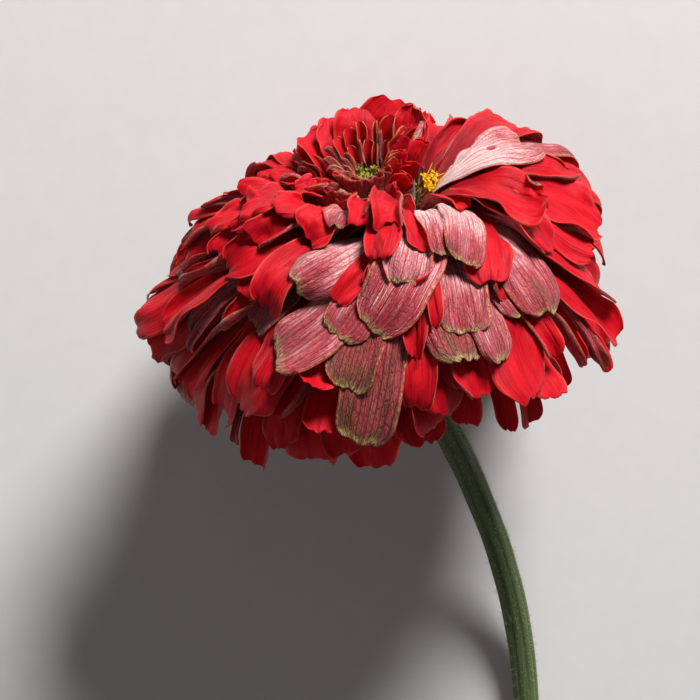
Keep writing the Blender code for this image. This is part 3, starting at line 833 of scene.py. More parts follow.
SEED_STEP = 17.0    # how far apart in the noise two petals lie whose tones are one apart


def petal_red(name, margin_and_edge_highlight):
    """The velvety upper face: scarlet with fine pleats, painted shade that darkens it towards the foot, and a
    thin margin, which is a painted highlight along the red face's edges and an olive-yellow margin on the
    young face.
    """
    make = Shader(name)
    _across, along, side = make.petal_place()
    tone = make.attribute("tone")
    streaks = make.streaks(30.0, 3.0, 4.0, tone)
    clouds = make.streaks(4.0, 4.0, 3.0, tone)
    fine = make.streaks(90.0, 40.0, 4.0, tone, 0.3)
    # Painted shade: the colour darkens from the tip to near black at the foot, where the petals lie deep in
    # the head.
    painted_foot_shade = (0.0, (0.07, 0.0, 0.004)), (0.35, (0.28, 0.0, 0.007)), (0.80, (0.62, 0.0, 0.009))
    colour = make.lay(make.ramp(along, *painted_foot_shade), (0.26, 0.0, 0.012), streaks, 0.42, 0.72, 0.8)
    colour = make.lay(colour, (0.80, 0.004, 0.008), clouds, 0.46, 0.80, 0.6)
    colour = make.lay(colour, (0.30, 0.0, 0.008), fine, 0.54, 0.74, 0.6)
    # A thin band along the edges in the margin colour: a painted highlight on the red face, and the
    # olive-yellow margin that the young petals have.
    edge = make.ramp(side, (0.88, 0.0), (0.985, 1.0)) * make.ramp(clouds, (0.35, 0.25), (0.6, 0.8))
    colour = make.mix(edge, colour, margin_and_edge_highlight)
    roughness = make.ramp(fine, (0.3, 0.46), (0.8, 0.68))
    return make.finish(
        colour, roughness, streaks + fine * 0.5, 0.6, 0.00035, Specular_IOR_Level=0.2,
        Sheen_Weight=0.22, Sheen_Roughness=0.35, Sheen_Tint=(1.0, 0.36, 0.30),
        Subsurface_Weight=0.25, Subsurface_Radius=(1.0, 0.10, 0.06), Subsurface_Scale=0.0010,
    )


def petal_reverse(name, ground, blush, vein_turns=35.0):
    """The reverse: pale with crimson veins, flushed and then dried brown towards its olive-rimmed tip."""
    make = Shader(name)
    across, along, side = make.petal_place()
    tone, wilt = make.attribute("tone"), make.attribute("wilt")
    wander = make.streaks(2.5, 3.0, 2.0, tone)
    patches = make.streaks(5.0, 5.0, 3.0, tone, 0.5)
    fibres = make.streaks(1.5 * vein_turns, 5.0, 3.0, tone, 0.6)
    mottle = make.streaks(34.0, 66.0, 4.0, tone, 0.5)

    stripe = make.ridges(across * vein_turns + wander * 5.0) + (mottle - 0.5) * 0.6
    veins = make.ramp(stripe, (0.10, 1.0), (0.48, 0.0))
    net = make.ramp(make.net(0.7 * vein_turns, 24.0, wander, tone), (0.02, 1.0), (0.15, 0.0))
    net = net * make.ramp(along, (0.35, 0.0), (0.70, 0.7))
    threads = make.ramp(fibres, (0.55, 0.0), (0.68, 0.65))
    marks = make.most(veins, make.most(net, threads))

    age = (along * 2.0 + wilt * 1.4 + patches * 1.6 - 2.5) * 0.8
    base = make.lay(ground, blush, along, 0.30, 0.85, 1.0)
    base = make.lay(base, (0.46, 0.025, 0.045), age, 0.05, 0.50, 0.9)
    base = make.lay(base, (0.19, 0.080, 0.026), age, 0.62, 1.15, 0.85)
    darks = (0.0, (0.40, 0.003, 0.030)), (0.55, (0.19, 0.001, 0.010)), (0.95, (0.05, 0.003, 0.003))
    colour = make.mix(marks * 0.9, base, make.ramp(age, *darks))
    light = make.ramp(fibres, (0.33, 0.5), (0.46, 0.0)) * make.ramp(age, (0.2, 1.0), (0.7, 0.1))
    colour = make.mix(light, colour, (0.95, 0.78, 0.72))

    ragged = (patches - 0.5) * 0.5
    tip = make.ramp(1.0 - (1.0 - along) * 7.0 + ragged, (0.74, 0.0), (0.94, 0.9))
    flank = make.ramp(side + ragged * 0.3, (0.90, 0.0), (0.97, 0.9))
    rim = make.most(tip, flank) * make.attribute("rim") * make.ramp(along, (0.35, 0.0), (0.80, 1.0))
    olives = (0.40, (0.16, 0.06, 0.012)), (0.50, (0.32, 0.21, 0.06)), (0.60, (0.72, 0.58, 0.28))
    colour = make.mix(rim, colour, make.ramp(mottle, *olives))
    colour = make.lay(colour, (0.50, 0.02, 0.02), side, 0.95, 0.985, 0.85)
    roughness = make.ramp(mottle, (0.3, 0.44), (0.8, 0.66))
    return make.finish(
        colour, roughness, marks * -0.6 + (mottle + fibres), 0.7, 0.0003, Specular_IOR_Level=0.28,
        Sheen_Weight=0.1, Sheen_Roughness=0.5,
        Subsurface_Weight=0.2, Subsurface_Radius=(1.0, 0.20, 0.14), Subsurface_Scale=0.0010,
    )


# The red face's bright scarlet margin colour is a painted highlight along the lit edges.
PETAL_RED = petal_red("petal_red_face", (0.90, 0.07, 0.05))
PETAL_YOUNG = petal_red("petal_young_face", (0.62, 0.34, 0.12))
PETAL_PALE = petal_reverse("petal_pale_reverse", (0.92, 0.66, 0.63), (0.80, 0.34, 0.34))
PETAL_DULL = petal_reverse("petal_dull_reverse", (0.78, 0.32, 0.30), (0.56, 0.10, 0.10))
YOUNG_REVERSE = petal_reverse("petal_young_reverse", (0.84, 0.42, 0.38), (0.50, 0.05, 0.05), 20.0)


def stem_skin():
    """Dark green, paler on the ribs, with a brown cast at the neck and fine specks."""
    make = Shader("stem_skin")
    across, along, _side = make.petal_place()
    fibres = make.streaks(46.0, 7.0, 4.0)
    rib = abs(make.math("COSINE", across * (math.pi * STEM_RIBS)))
    specks, clouds = make.grain(1500.0, 3.0), make.grain(90.0, 4.0)
    colour = make.mix(rib, (0.026, 0.045, 0.012), (0.075, 0.115, 0.030))
    colour = make.lay(colour, (0.14, 0.17, 0.06), fibres, 0.45, 0.75, 0.8)
    colour = make.lay(colour, (0.09, 0.055, 0.022), clouds, 0.50, 0.75, 0.55)
    colour = make.mix(make.ramp(along, (0.0, 0.6), (0.22, 0.0)), colour, (0.075, 0.038, 0.018))
    colour = make.lay(colour, (0.24, 0.25, 0.12), specks, 0.64, 0.72, 0.7)
    roughness = make.ramp(specks, (0.3, 0.42), (0.7, 0.62))
    return make.finish(
        colour, roughness, fibres + specks * 0.5, 0.6, 0.0003, Specular_IOR_Level=0.4,
        Sheen_Weight=0.25, Sheen_Roughness=0.5, Sheen_Tint=(0.7, 0.8, 0.5),
    )


def plain_tissue(name, dark, light, scale, roughness=0.6):
    """Fleshy plant tissue, mottled between two colours, with a fine grain."""
    make = Shader(name)
    clouds, grain = make.grain(scale, 5.0), make.grain(scale * 6.0, 3.0)
    colour = make.lay(dark, light, clouds, 0.35, 0.65, 1.0)
    colour = make.lay(colour, light, grain, 0.55, 0.75, 0.5)
    return make.finish(
        colour, roughness, grain, 0.5, 0.0002, Specular_IOR_Level=0.35,
        Subsurface_Weight=0.15, Subsurface_Radius=(0.6, 0.5, 0.2), Subsurface_Scale=0.0008,
    )


def bract_green(name, blade_colour, margin_and_edge_highlight):
    """A bract: green with parallel veins, and a dark fringed margin."""
    make = Shader(name)
    across, along, side = make.petal_place()
    tone = make.attribute("tone")
    veins = make.ridges(across * 34.0)
    mottle = make.streaks(14.0, 12.0, 5.0, tone, 0.4)
    colour = make.mix(make.ramp(veins, (0.0, 0.6), (0.35, 0.0)), blade_colour, (0.20, 0.24, 0.08))
    colour = make.lay(colour, (0.06, 0.07, 0.02), mottle, 0.45, 0.75, 0.7)
    rim = make.most(make.ramp(side, (0.70, 0.0), (0.90, 1.0)), make.ramp(along, (0.86, 0.0), (0.95, 1.0)))
    rim = rim * make.ramp(mottle, (0.30, 0.5), (0.50, 1.0))
    colour = make.mix(rim, colour, margin_and_edge_highlight)
    height = mottle + veins * 0.4
    return make.finish(colour, 0.6, height, 0.6, 0.0003, Specular_IOR_Level=0.35, Sheen_Weight=0.2)


def floret_shade(name, foot, tube, lip):
    """A tube floret: coloured along its length, with fine ribs."""
    make = Shader(name)
    across, along, _side = make.petal_place()
    ribs = make.ridges(across * (math.pi * FLORET_LOBES))
    grain = make.grain(2600.0, 3.0)
    colour = make.ramp(along, (0.0, foot), (0.35, tube), (0.62, lip), (1.0, tube))
    colour = make.mix(ribs * 0.35, colour, tube)
    roughness = make.ramp(grain, (0.3, 0.42), (0.7, 0.6))
    return make.finish(
        colour, roughness, grain, 0.4, 0.00015, Specular_IOR_Level=0.35,
        Subsurface_Weight=0.2, Subsurface_Radius=(0.8, 0.5, 0.1), Subsurface_Scale=0.0006,
    )


STEM_RIBS = 9
FLORET_LOBES = 5
STEM_SKIN = stem_skin()
STEM_PITH = plain_tissue("stem_pith", (0.42, 0.44, 0.22), (0.66, 0.66, 0.42), 1400.0)
RECEPTACLE_FLESH = plain_tissue("receptacle_flesh", (0.14, 0.16, 0.05), (0.30, 0.30, 0.11), 500.0)
STEM_DOWN = plain_tissue("stem_down", (0.30, 0.33, 0.16), (0.52, 0.52, 0.32), 900.0, 0.5)
BRACT_OUTSIDE = bract_green("bract_outside", (0.085, 0.125, 0.030), (0.045, 0.016, 0.010))
BRACT_INSIDE = bract_green("bract_inside", (0.20, 0.24, 0.08), (0.10, 0.05, 0.03))
CHAFF = bract_green("receptacle_chaff", (0.26, 0.20, 0.04), (0.24, 0.012, 0.010))
FLORET_YELLOW = floret_shade("floret_yellow_tube", (0.30, 0.26, 0.05), (0.80, 0.42, 0.01), (0.92, 0.60, 0.02))
FLORET_STYLE = plain_tissue("floret_style", (0.78, 0.42, 0.01), (0.92, 0.62, 0.03), 3000.0, 0.5)
BUD_LIME = floret_shade("bud_lime_tube", (0.10, 0.13, 0.03), (0.24, 0.26, 0.04), (0.52, 0.44, 0.06))

# The face that a petal turns outwards, the face behind it, and the record's slot
FACES = {
    RED: (PETAL_RED, PETAL_DULL, "petal_red"),
    PALE: (PETAL_PALE, PETAL_RED, "petal_pale"),
    DULL: (PETAL_DULL, PETAL_RED, "petal_pale"),
}


# The whorls whose filling petals are mostly covered, and so are drawn with half the columns
COARSE_WHORLS = ("rim_petal", "rear_petal")


def add_ray_petals():
    """Lays the whorls in turn; a petal without a number fills in between those that the model has."""
    total = sum(len(rows) for _name, rows in WHORLS)
    mop = MopMap()
    index = 0
    for whorl, rows in WHORLS:
        spare = 0
        for petal in rows:
            chance = np.random.default_rng(RAY_SEED + index)
            grid = rest_on_floor(drape(ray_petal(petal, index / (total - 1), chance), mop))
            mop.lay(refine(grid[PARTS > FOOT_PART], 2).reshape(-1, 3), THICK + CLEARANCE)
            grid = rest_on_floor(crumple(grid, index, chance.uniform(*WRINKLE)))
            outer, inner, slot = FACES[petal.face]
            spare += petal.number == 0
            name = f"{whorl}_{petal.number:02d}"
            look = name + ".look" if petal.number else f"{whorl}_between_{spare:02d}"
            sheets = Sheets(look, outer, inner)
            rim = chance.uniform(0.0, 0.8) if petal.face == RED else chance.uniform(0.7, 1.0)
            shown = grid if petal.number or whorl not in COARSE_WHORLS else grid[:, ::2]
            sheets.add(shown, chance.uniform(0, 1), petal.wilt, rim)
            keep(sheets.make(), name if petal.number else None)
            index += 1


# The young petals that stand up round the centre
class Young(NamedTuple):
    azimuth: float      # round the tuft's own middle
    foot: float         # radius at the foot
    tip: float          # radius at the tip
    height: float       # of the tip along the axis
    width: float
    flare: float = 20.0     # of the tip away from the axis, degrees
    cup: float = 0.8    # how far the side edges stand in
    curl: float = 0.0   # how far the tip turns in
    left: float = 0.0   # how far the edges roll in, degrees
    right: float = 0.0
    fold: float = 0.0
    twist: float = 0.0
    plain: bool = False     # red on both faces


TUFT_FOOT = 33.2
HOOD_FOOT = 30.5
COLLAR_FOOT = 31.5
HOOD = (
    Young(178, 8.0, 13.0, 44.4, 13, flare=62, cup=1.4),
    Young(148, 8.0, 14.0, 45.2, 17, flare=62, cup=1.8, curl=1),
    Young(128, 8.0, 14.0, 44.6, 9, flare=56, cup=2),
    Young(126, 7.6, 12.6, 44.0, 11, flare=50, left=140),
    Young(206, 8.0, 14.0, 42.5, 11, flare=72, cup=1),
    Young(228, 8.0, 15.5, 40.5, 11, flare=78, cup=1),
    Young(196, 8.5, 17.0, 40.5, 12, flare=85),
    Young(160, 8.5, 18.0, 39.5, 12, flare=85),
)
COLLAR = (
    Young(-136, 7.4, 14.0, 38.5, 9, flare=80, fold=20),
    Young(-114, 7.4, 13.5, 37.5, 9, flare=85, fold=30),
    Young(-94, 7.4, 13.5, 36.8, 9, flare=85, cup=1.4),
    Young(-74, 7.4, 13.5, 36.4, 8, flare=80, fold=40),
    Young(-56, 8.4, 17.5, 33.4, 9, flare=105, cup=2.2, curl=2),
    Young(-36, 8.4, 17.5, 33.0, 9, flare=105, cup=1.6, curl=1),
    Young(-20, 8.4, 18.0, 32.8, 9, flare=105, cup=2.6, curl=3),
    Young(-8, 8.4, 16.0, 33.6, 8, flare=100, cup=1.4, curl=2),
    Young(2, 8.4, 15.4, 33.6, 7, flare=80, fold=60),
    Young(24, 8.4, 15.0, 34.2, 8, flare=100, fold=50),
    Young(-62, 7.4, 11.0, 38.0, 7, flare=40, fold=40),
    Young(-44, 7.6, 11.6, 39.4, 9, flare=8, cup=1.8),
    Young(-26, 8.0, 12.2, 38.6, 10, flare=8, cup=2),
    Young(-9, 7.6, 11.2, 37.6, 9, flare=12, cup=1.8, fold=30),
    Young(9, 8.0, 13.4, 36.0, 9, flare=15, cup=3.2, curl=2),
    Young(26, 7.4, 11.0, 37.4, 8, flare=50, fold=60, plain=True),
    Young(46, 6.8, 10.6, 38.6, 8, flare=50, fold=75, plain=True),
    Young(66, 7.0, 10.8, 40.2, 8, flare=40, fold=75, twist=20, plain=True),
    Young(92, 7.4, 11.6, 42.0, 9, flare=30, fold=60, twist=-25, plain=True),
    Young(112, 7.4, 12.4, 42.5, 8, flare=35, fold=50, plain=True),
)
OUTER_TUFT = (
    Young(130, 5.2, 6.8, 46.6, 5.2, flare=14, cup=1.6),
    Young(190, 4.8, 6.0, 45.2, 3.8, flare=14, cup=1.2),
    Young(160, 5.0, 6.4, 45.0, 2.6, fold=40),
    Young(212, 4.8, 6.4, 44.2, 3.4),
    Young(234, 4.8, 7.0, 43.2, 3.2, flare=35),
    Young(108, 5.2, 8.0, 44.8, 6.4, flare=25, fold=60, twist=25, plain=True),
    Young(88, 5.6, 8.6, 43.6, 7.0, flare=35, fold=70, twist=-20, plain=True),
    Young(68, 5.0, 8.4, 42.4, 7.0, flare=35, fold=65, twist=20, plain=True),
    Young(50, 5.4, 7.8, 41.4, 6.4, flare=35, fold=60, twist=-15, plain=True),
    Young(32, 4.8, 7.2, 40.6, 6.0, flare=28, fold=50),
    Young(14, 5.2, 7.0, 40.2, 5.6, flare=22, cup=1.4),
    Young(-4, 4.8, 6.8, 39.8, 5.6, flare=22, cup=1.4, twist=10),
    Young(-22, 5.2, 7.2, 39.8, 5.4, flare=22, cup=1.6),
    Young(-40, 4.8, 7.4, 39.8, 5.6, flare=25, cup=1.6, twist=-10),
    Young(-58, 5.2, 8.0, 40.0, 5.0, flare=35, cup=1.6),
    Young(-76, 5.0, 8.2, 40.2, 4.2, flare=45, fold=60),
    Young(-94, 5.4, 8.6, 40.8, 3.8, flare=45, fold=70),
    Young(-112, 5.0, 8.4, 41.8, 3.6, flare=40, fold=70),
)
INNER_TUFT = (
    Young(177, 2.8, 4.0, 42.4, 3.2, flare=14, cup=1.2),
    Young(119, 3.2, 5.0, 42.6, 3.0, flare=14, cup=1.2),
    Young(138, 3.4, 4.6, 44.4, 2.2, flare=10, fold=30),
    Young(150, 2.8, 3.6, 42.0, 2.4),
    Young(221, 3.0, 5.0, 41.4, 2.8, cup=1.2),
    Young(200, 3.0, 4.4, 42.6, 2.4, fold=30),
    Young(240, 2.8, 5.2, 40.6, 2.3, flare=40, fold=50),
    Young(258, 3.2, 5.4, 40.2, 2.2, flare=45, fold=50),
    Young(276, 2.8, 5.0, 39.6, 2.1, flare=40, fold=60),
    Young(294, 3.2, 5.2, 39.2, 2.2, flare=40, fold=50),
    Young(312, 2.8, 4.6, 38.8, 2.3, flare=30, fold=40),
    Young(330, 3.2, 4.4, 38.4, 2.6, flare=30),
    Young(348, 2.8, 3.8, 38.0, 2.6, flare=25, fold=30),
    Young(6, 3.2, 4.2, 38.2, 2.8, flare=25),
    Young(24, 2.8, 4.2, 38.6, 3.0, flare=25, fold=40),
    Young(44, 3.2, 5.2, 39.6, 3.6, flare=30, fold=50, plain=True),
    Young(66, 3.0, 5.4, 40.6, 4.0, flare=30, fold=60, plain=True),
    Young(90, 3.2, 5.6, 41.6, 4.0, fold=60, plain=True),
)


BROAD = 9.5             # the width above which a young petal is a broad one, and below, a narrow one
NARROW = 6.0
YOUNG_LEAN = 6.0        # the angle from the axis at which a young petal leaves its foot
YOUNG_WRINKLE = 0.02    # as a share of the width
YOUNG_THICK = 0.24
YOUNG_THIN = 0.1


def young_sheet(sheets, young, foot_height, seed):
    """Adds one young petal; the narrow ones need only half the rows and columns."""
    chance = np.random.default_rng(seed)
    curve = arch((young.foot, foot_height), (young.tip, young.height), YOUNG_LEAN, young.flare)
    azimuth = np.full(ROWS + 1, math.radians(young.azimuth))
    wild = 0.35 if young.width > BROAD else 0.65 if young.width > NARROW else 0.4
    grid = blade(curve, azimuth, young, chance, wild) + CROWN_OFFSET * RIGHT
    grid = crumple(grid, seed, YOUNG_WRINKLE * young.width)
    step = 1 if young.width > NARROW else 2
    rim = chance.uniform(0.5, 1.0)
    tone, wilt = chance.uniform(0, 1), chance.uniform(0.0, 0.5)
    inner = 0 if young.plain else 1
    sheets.add(grid[::step, ::step], tone, wilt, rim, YOUNG_THICK, YOUNG_THIN, inner)


def keep(piece, node):
    """Puts a finished piece in the frame, in the place of its node if it has one."""
    if node:
        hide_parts(node)
    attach(piece, "root")


def add_tuft(node, rows, seed):
    """Upright young petals in a ring, with their upper faces turned to the tuft's middle."""
    sheets = Sheets(node + ".look", PETAL_YOUNG, YOUNG_REVERSE)
    for number, young in enumerate(rows):
        young_sheet(sheets, young, TUFT_FOOT, seed + number)
    keep(sheets.make(), node)


def add_hood():
    """The petals that stand behind the tuft; the model has the first of them."""
    for number, young in enumerate(HOOD):
        name = "top_petal_01.look" if number == 0 else f"hood_petal_{number:02d}"
        sheets = Sheets(name, PETAL_RED, PETAL_PALE)
        young_sheet(sheets, young, HOOD_FOOT, HOOD_SEED + number)
        keep(sheets.make(), "top_petal_01" if number == 0 else None)


def add_collar():
    """Half-grown petals between the tuft and the mop."""
    for number, young in enumerate(COLLAR):
        sheets = Sheets(f"collar_petal_{number + 1:02d}", PETAL_RED, YOUNG_REVERSE)
        young_sheet(sheets, young, COLLAR_FOOT, COLLAR_SEED + number)
        keep(sheets.make(), None)


# The stem, the bracts, the receptacle and the florets

# The stem's middle line below the head: how far across and along from the head's middle, and how high above
# the floor
STEM_ROUTE = (
    (5.0, -8.5, 33.2),
    (10.0, -17.0, 27.0),
    (15.0, -27.0, 20.0),
    (21.0, -42.0, 11.6),
    (25.0, -58.0, 6.0),
    (27.0, -76.0, 3.0),
    (28.0, -96.0, 2.5),
)
STEM_RADIUS_TOP = 2.95
STEM_RADIUS_CUT = 2.5
STEM_STEPS = 150
STEM_SIDES = 90
RIB_DEPTH = 0.16
CUT_SLANT = 25.0
HAIR_COUNT = 3200
HAIR_WIDTH = 0.045
HAIR_FACES = ((0, 1, 3), (1, 2, 3), (2, 0, 3), (2, 1, 0))


def smooth_route(points, steps):
    """Points and directions along a Catmull-Rom curve through the given points."""
    ends = [2 * points[0] - points[1], *points, 2 * points[-1] - points[-2]]
    route = []
    for place in np.linspace(0.0, len(points) - 1, steps + 1):
        span = min(int(place), len(points) - 2)
        part = place - span
        a, b, c, d = ends[span : span + 4]
        slope, bend = c - a, 2 * a - 5 * b + 4 * c - d
        route.append(0.5 * (2 * b + slope * part + bend * part**2 + (3 * b - a - 3 * c + d) * part**3))
    route = np.array(route)
    return route, unit(np.gradient(route, axis=0))


def stem_line():
    """The stem's middle line, the way it runs, two directions across it, and its radius at each step."""
    neck = [on_axis(0.0, 0.0, RECEPTACLE_FOOT - SEAT_GAP), on_axis(0.0, 0.0, 0.0)]
    below = [np.array([*CENTRE[:2], 0.0]) + np.array(point) for point in STEM_ROUTE]
    route, ahead = smooth_route(neck + below, STEM_STEPS)
    ahead[0] = -AXIS
    radius = np.linspace(STEM_RADIUS_TOP, STEM_RADIUS_CUT, STEM_STEPS + 1)
    route[:, 2] = np.maximum(route[:, 2], radius)
    across = unit(np.cross(ahead, np.array([0.0, 0.0, 1.0])))
    return route, ahead, across, np.cross(ahead, across), radius


def stem_radius(radius, step, angle):
    """The ribbed radius at a step and an angle round the stem."""
    rib = np.abs(np.cos(0.5 * STEM_RIBS * angle)) ** 0.8
    wave = 0.05 * np.sin(0.13 * step + 2.0 * angle) + 0.03 * np.sin(0.41 * step - 3.0 * angle)
    return radius - RIB_DEPTH * (1.0 - rib) + wave


def add_stem():
    route, ahead, across, up, radius = stem_line()
    angle = circle(STEM_SIDES)
    round_it = np.cos(angle)[:, None, None] * across + np.sin(angle)[:, None, None] * up
    round_it = round_it.transpose(1, 0, 2)
    steps = np.arange(STEM_STEPS + 1)[:, None]
    reach = stem_radius(radius[:, None], steps, angle[None])
    rings = route[:, None] + reach[..., None] * round_it
    slant = math.tan(math.radians(CUT_SLANT)) * reach[-1] * np.sin(angle)
    slope = (slant / reach[-1])[:, None] * ahead[-1]
    rings[-1] += slant[:, None] * ahead[-1]
    rings[-2] += 0.6 * slant[:, None] * ahead[-1]
    face = []
    for part, sunk in ((0.96, -0.06), (0.80, 0.0), (0.77, 0.12), (0.35, 0.16), (0.26, 0.9)):
        inner = part * reach[-1][:, None] * (round_it[-1] + slope)
        face.append(route[-1] + inner - sunk * ahead[-1])
    rings = np.concatenate([rings, np.array(face)])
    slots = [0] * (STEM_STEPS + 3) + [1] * (len(face) - 1)
    stem = Rings("stem.look", STEM_SKIN, STEM_PITH)
    stem.add(rings, slots)
    keep(stem.make(), "stem")


def add_stem_hairs():
    """Short stiff hairs, each a thin closed spike with its foot in the skin."""
    chance = np.random.default_rng(HAIR_SEED)
    route, ahead, across, up, radius = stem_line()
    points, faces = [], []
    for _ in range(HAIR_COUNT):
        step = int(chance.integers(3, STEM_STEPS))
        angle = chance.uniform(0, 2 * math.pi)
        out = math.cos(angle) * across[step] + math.sin(angle) * up[step]
        side = math.cos(angle) * up[step] - math.sin(angle) * across[step]
        foot = route[step] + chance.uniform(0, 0.8) * ahead[step]
        foot = foot + (stem_radius(radius[step], step, angle) - 0.06) * out
        length = chance.uniform(0.5, 1.2)
        lean = chance.uniform(-0.5, 0.2) * ahead[step] + chance.uniform(-0.3, 0.3) * side
        tip = foot + length * (out + lean)
        if tip[2] < 0.05:
            continue
        start = len(points)
        for turn in range(3):
            spin = 2 * math.pi * turn / 3
            points.append(foot + HAIR_WIDTH * (math.cos(spin) * side - math.sin(spin) * ahead[step]))
        points.append(tip)
        faces += [(start + a, start + b, start + c) for a, b, c in HAIR_FACES]
    keep(build("stem_hairs", [np.array(points)], faces, [STEM_DOWN]), None)


# Each row of bracts: how many, their tips' radius and height, and their width
BRACT_ROWS = ((11, 9.7, 6.6, 7.2), (12, 10.6, 9.2, 7.0), (13, 11.0, 11.6, 6.6))
BRACT_FOOT = np.array([3.7, 3.2])           # radius and height of the lowest row's feet
BRACT_FOOT_STEP = np.array([0.35, 0.30])    # from one row's feet to the next's
BRACT_LAUNCH = 92.0     # the angles from the axis at which a bract leaves its foot and reaches its tip
BRACT_ARRIVE = 2.0


def add_involucre():
    """Three rows of bracts, the lowest outermost, that overlap like tiles under the petals."""
    sheets = Sheets("involucre.look", BRACT_INSIDE, BRACT_OUTSIDE)
    for row, (count, radius, height, width) in enumerate(BRACT_ROWS):
        foot = BRACT_FOOT + BRACT_FOOT_STEP * row
        curve = arch(foot, (radius, height), BRACT_LAUNCH, BRACT_ARRIVE)
        for number in range(count):
            chance = np.random.default_rng(BRACT_SEED + 20 * row + number)
            turn = 2 * math.pi * (number + 0.5 * (row % 2) + chance.uniform(-0.1, 0.1)) / count
            bract = Young(0, 0, 0, 0, width, cup=1.1, curl=-0.6)
            grid = blade(curve, np.full(ROWS + 1, turn), bract, chance, 0.5)
            grid = crumple(grid, row * 20 + number, 0.08)
            sheets.add(grid[::2, ::2], chance.uniform(0, 1), 0.0, 1.0, 0.45, 0.15)
    keep(sheets.make(), "involucre")


ASKEW = AXIS + 0.3 * RIGHT  # a direction that no floret points in, to set its ring's first corner by


def turned_rings(foot, ahead, profile, sides, depth):
    """Rings round a line from (radius, height, lobing) rows, scalloped into lobes where lobing is 1."""
    level = unit(np.cross(ahead, ASKEW))
    other = np.cross(ahead, level)
    angle = circle(sides)
    wave = np.cos(FLORET_LOBES * angle)
    rings = []
    for radius, height, lobing in profile:
        reach = radius * (1.0 + 0.30 * lobing * wave)
        round_it = np.cos(angle)[:, None] * level + np.sin(angle)[:, None] * other
        rings.append(foot + reach[:, None] * round_it + (height + depth * lobing * wave)[:, None] * ahead)
    return np.array(rings)


PIT_DEPTH = 0.16


def add_receptacle():
    """A fleshy dome, pitted where the florets and petals sit."""
    angle = circle(72)
    rings = []
    for height in np.linspace(RECEPTACLE_FOOT, RECEPTACLE_TOP, 48):
        pits = PIT_DEPTH * np.cos(13 * angle + 1.7 * height) * np.cos(8 * angle - 2.1 * height)
        reach = receptacle_radius(height) - 0.15 + pits
        rings.append(CENTRE + reach[:, None] * away(angle) + height * AXIS)
    for part in (0.92, 0.7, 0.45, 0.2):
        domed = RECEPTACLE_TOP + 0.3 * (1.0 - part)
        rings.append(CENTRE + part * receptacle_radius(RECEPTACLE_TOP) * away(angle) + domed * AXIS)
    dome = Rings("receptacle.look", RECEPTACLE_FLESH)
    dome.add(np.array(rings))
    keep(dome.make(), "receptacle")


GOLDEN_TURN = math.pi * (3.0 - math.sqrt(5.0))  # from one floret to the next, as a real head spaces them
CHAFF_COUNT = 120
CHAFF_LOW = 27.0        # the height of the lowest scale
CHAFF_CLIMB = 1.7       # above 1, the scales reach the top before the last of them
BUD_COUNT = 15


def add_chaff():
    """The narrow scales that stand between the florets, from the receptacle's shoulder to its middle."""
    sheets = Sheets("receptacle_chaff", CHAFF, CHAFF)
    for number in range(CHAFF_COUNT):
        chance = np.random.default_rng(CHAFF_SEED + number)
        part = number / (CHAFF_COUNT - 1)
        climb = part * CHAFF_CLIMB
        height = CHAFF_LOW + (RECEPTACLE_TOP - CHAFF_LOW) * min(climb, 1.0)
        radius = receptacle_radius(height) * (1.0 - max(climb - 1.0, 0.0))
        scale = Young(0, 0, 0, 0, chance.uniform(1.2, 1.9), cup=0.3)
        tip = (radius + 2.2 * (1.0 - part), height + chance.uniform(3.0, 4.2))
        curve = arch((radius, height - 0.3), tip, 40.0 * (1.0 - part), 15.0)
        turn = np.full(ROWS + 1, number * GOLDEN_TURN)
        grid = blade(curve, turn, scale, chance, 0.5)
        sheets.add(grid[::4, ::4], chance.uniform(0, 1), 0.0, 1.0, 0.2, 0.1)
    keep(sheets.make(), None)


def add_bud():
    """The unopened florets at the tuft's middle: short lime tubes with a rolled lip."""
    bud = Rings("bud_florets.look", BUD_LIME)
    for number in range(BUD_COUNT):
        chance = np.random.default_rng(BUD_SEED + number)
        turn, radius = number * GOLDEN_TURN, FLORET_SPACING * math.sqrt(number + 0.3)
        foot = on_axis(radius, turn, RECEPTACLE_TOP) + CROWN_OFFSET * RIGHT
        lean = AXIS + 0.10 * radius * away(np.float64(turn)) + chance.uniform(-0.08, 0.08) * RIGHT
        tall = chance.uniform(4.2, 5.4)
        profile = ((0.26, 0, 0), (0.34, 0.6 * tall, 0), (0.52, 0.9 * tall, 0.3), (0.60, tall, 1))
        profile += ((0.50, tall, 1), (0.36, 0.9 * tall, 0.3), (0.20, 0.75 * tall, 0))
        bud.add(turned_rings(foot, unit(lean), profile, 20, 0.10))
    keep(bud.make(), "bud_florets")


FLORET_AZIMUTH = 78.0
FLORET_FOOT = (7.0, 32.6)
FLORET_LEAN = 52.0
FLORET_COUNT = 9
FLORET_SPACING = 0.62
FLORET_SPLAY = 0.24     # how much further an outer floret leans than the middle one
STYLE_WIDTH = 0.11


def curved_rod(foot, ahead, bow, length, radius, sides=8, steps=10):
    """Rings along a rod that starts ahead and bends towards bow."""
    part = np.linspace(0.0, 1.0, steps + 1)[:, None]
    line = foot + length * (part * ahead + 0.5 * part**2 * bow)
    run = unit(ahead + part * bow)
    level = unit(np.cross(run, ASKEW))
    other = np.cross(run, level)
    angle = circle(sides)
    round_it = np.cos(angle)[None, :, None] * level[:, None] + np.sin(angle)[None, :, None] * other[:, None]
    return line[:, None] + (radius * (1.0 - 0.5 * part**3))[:, None] * round_it


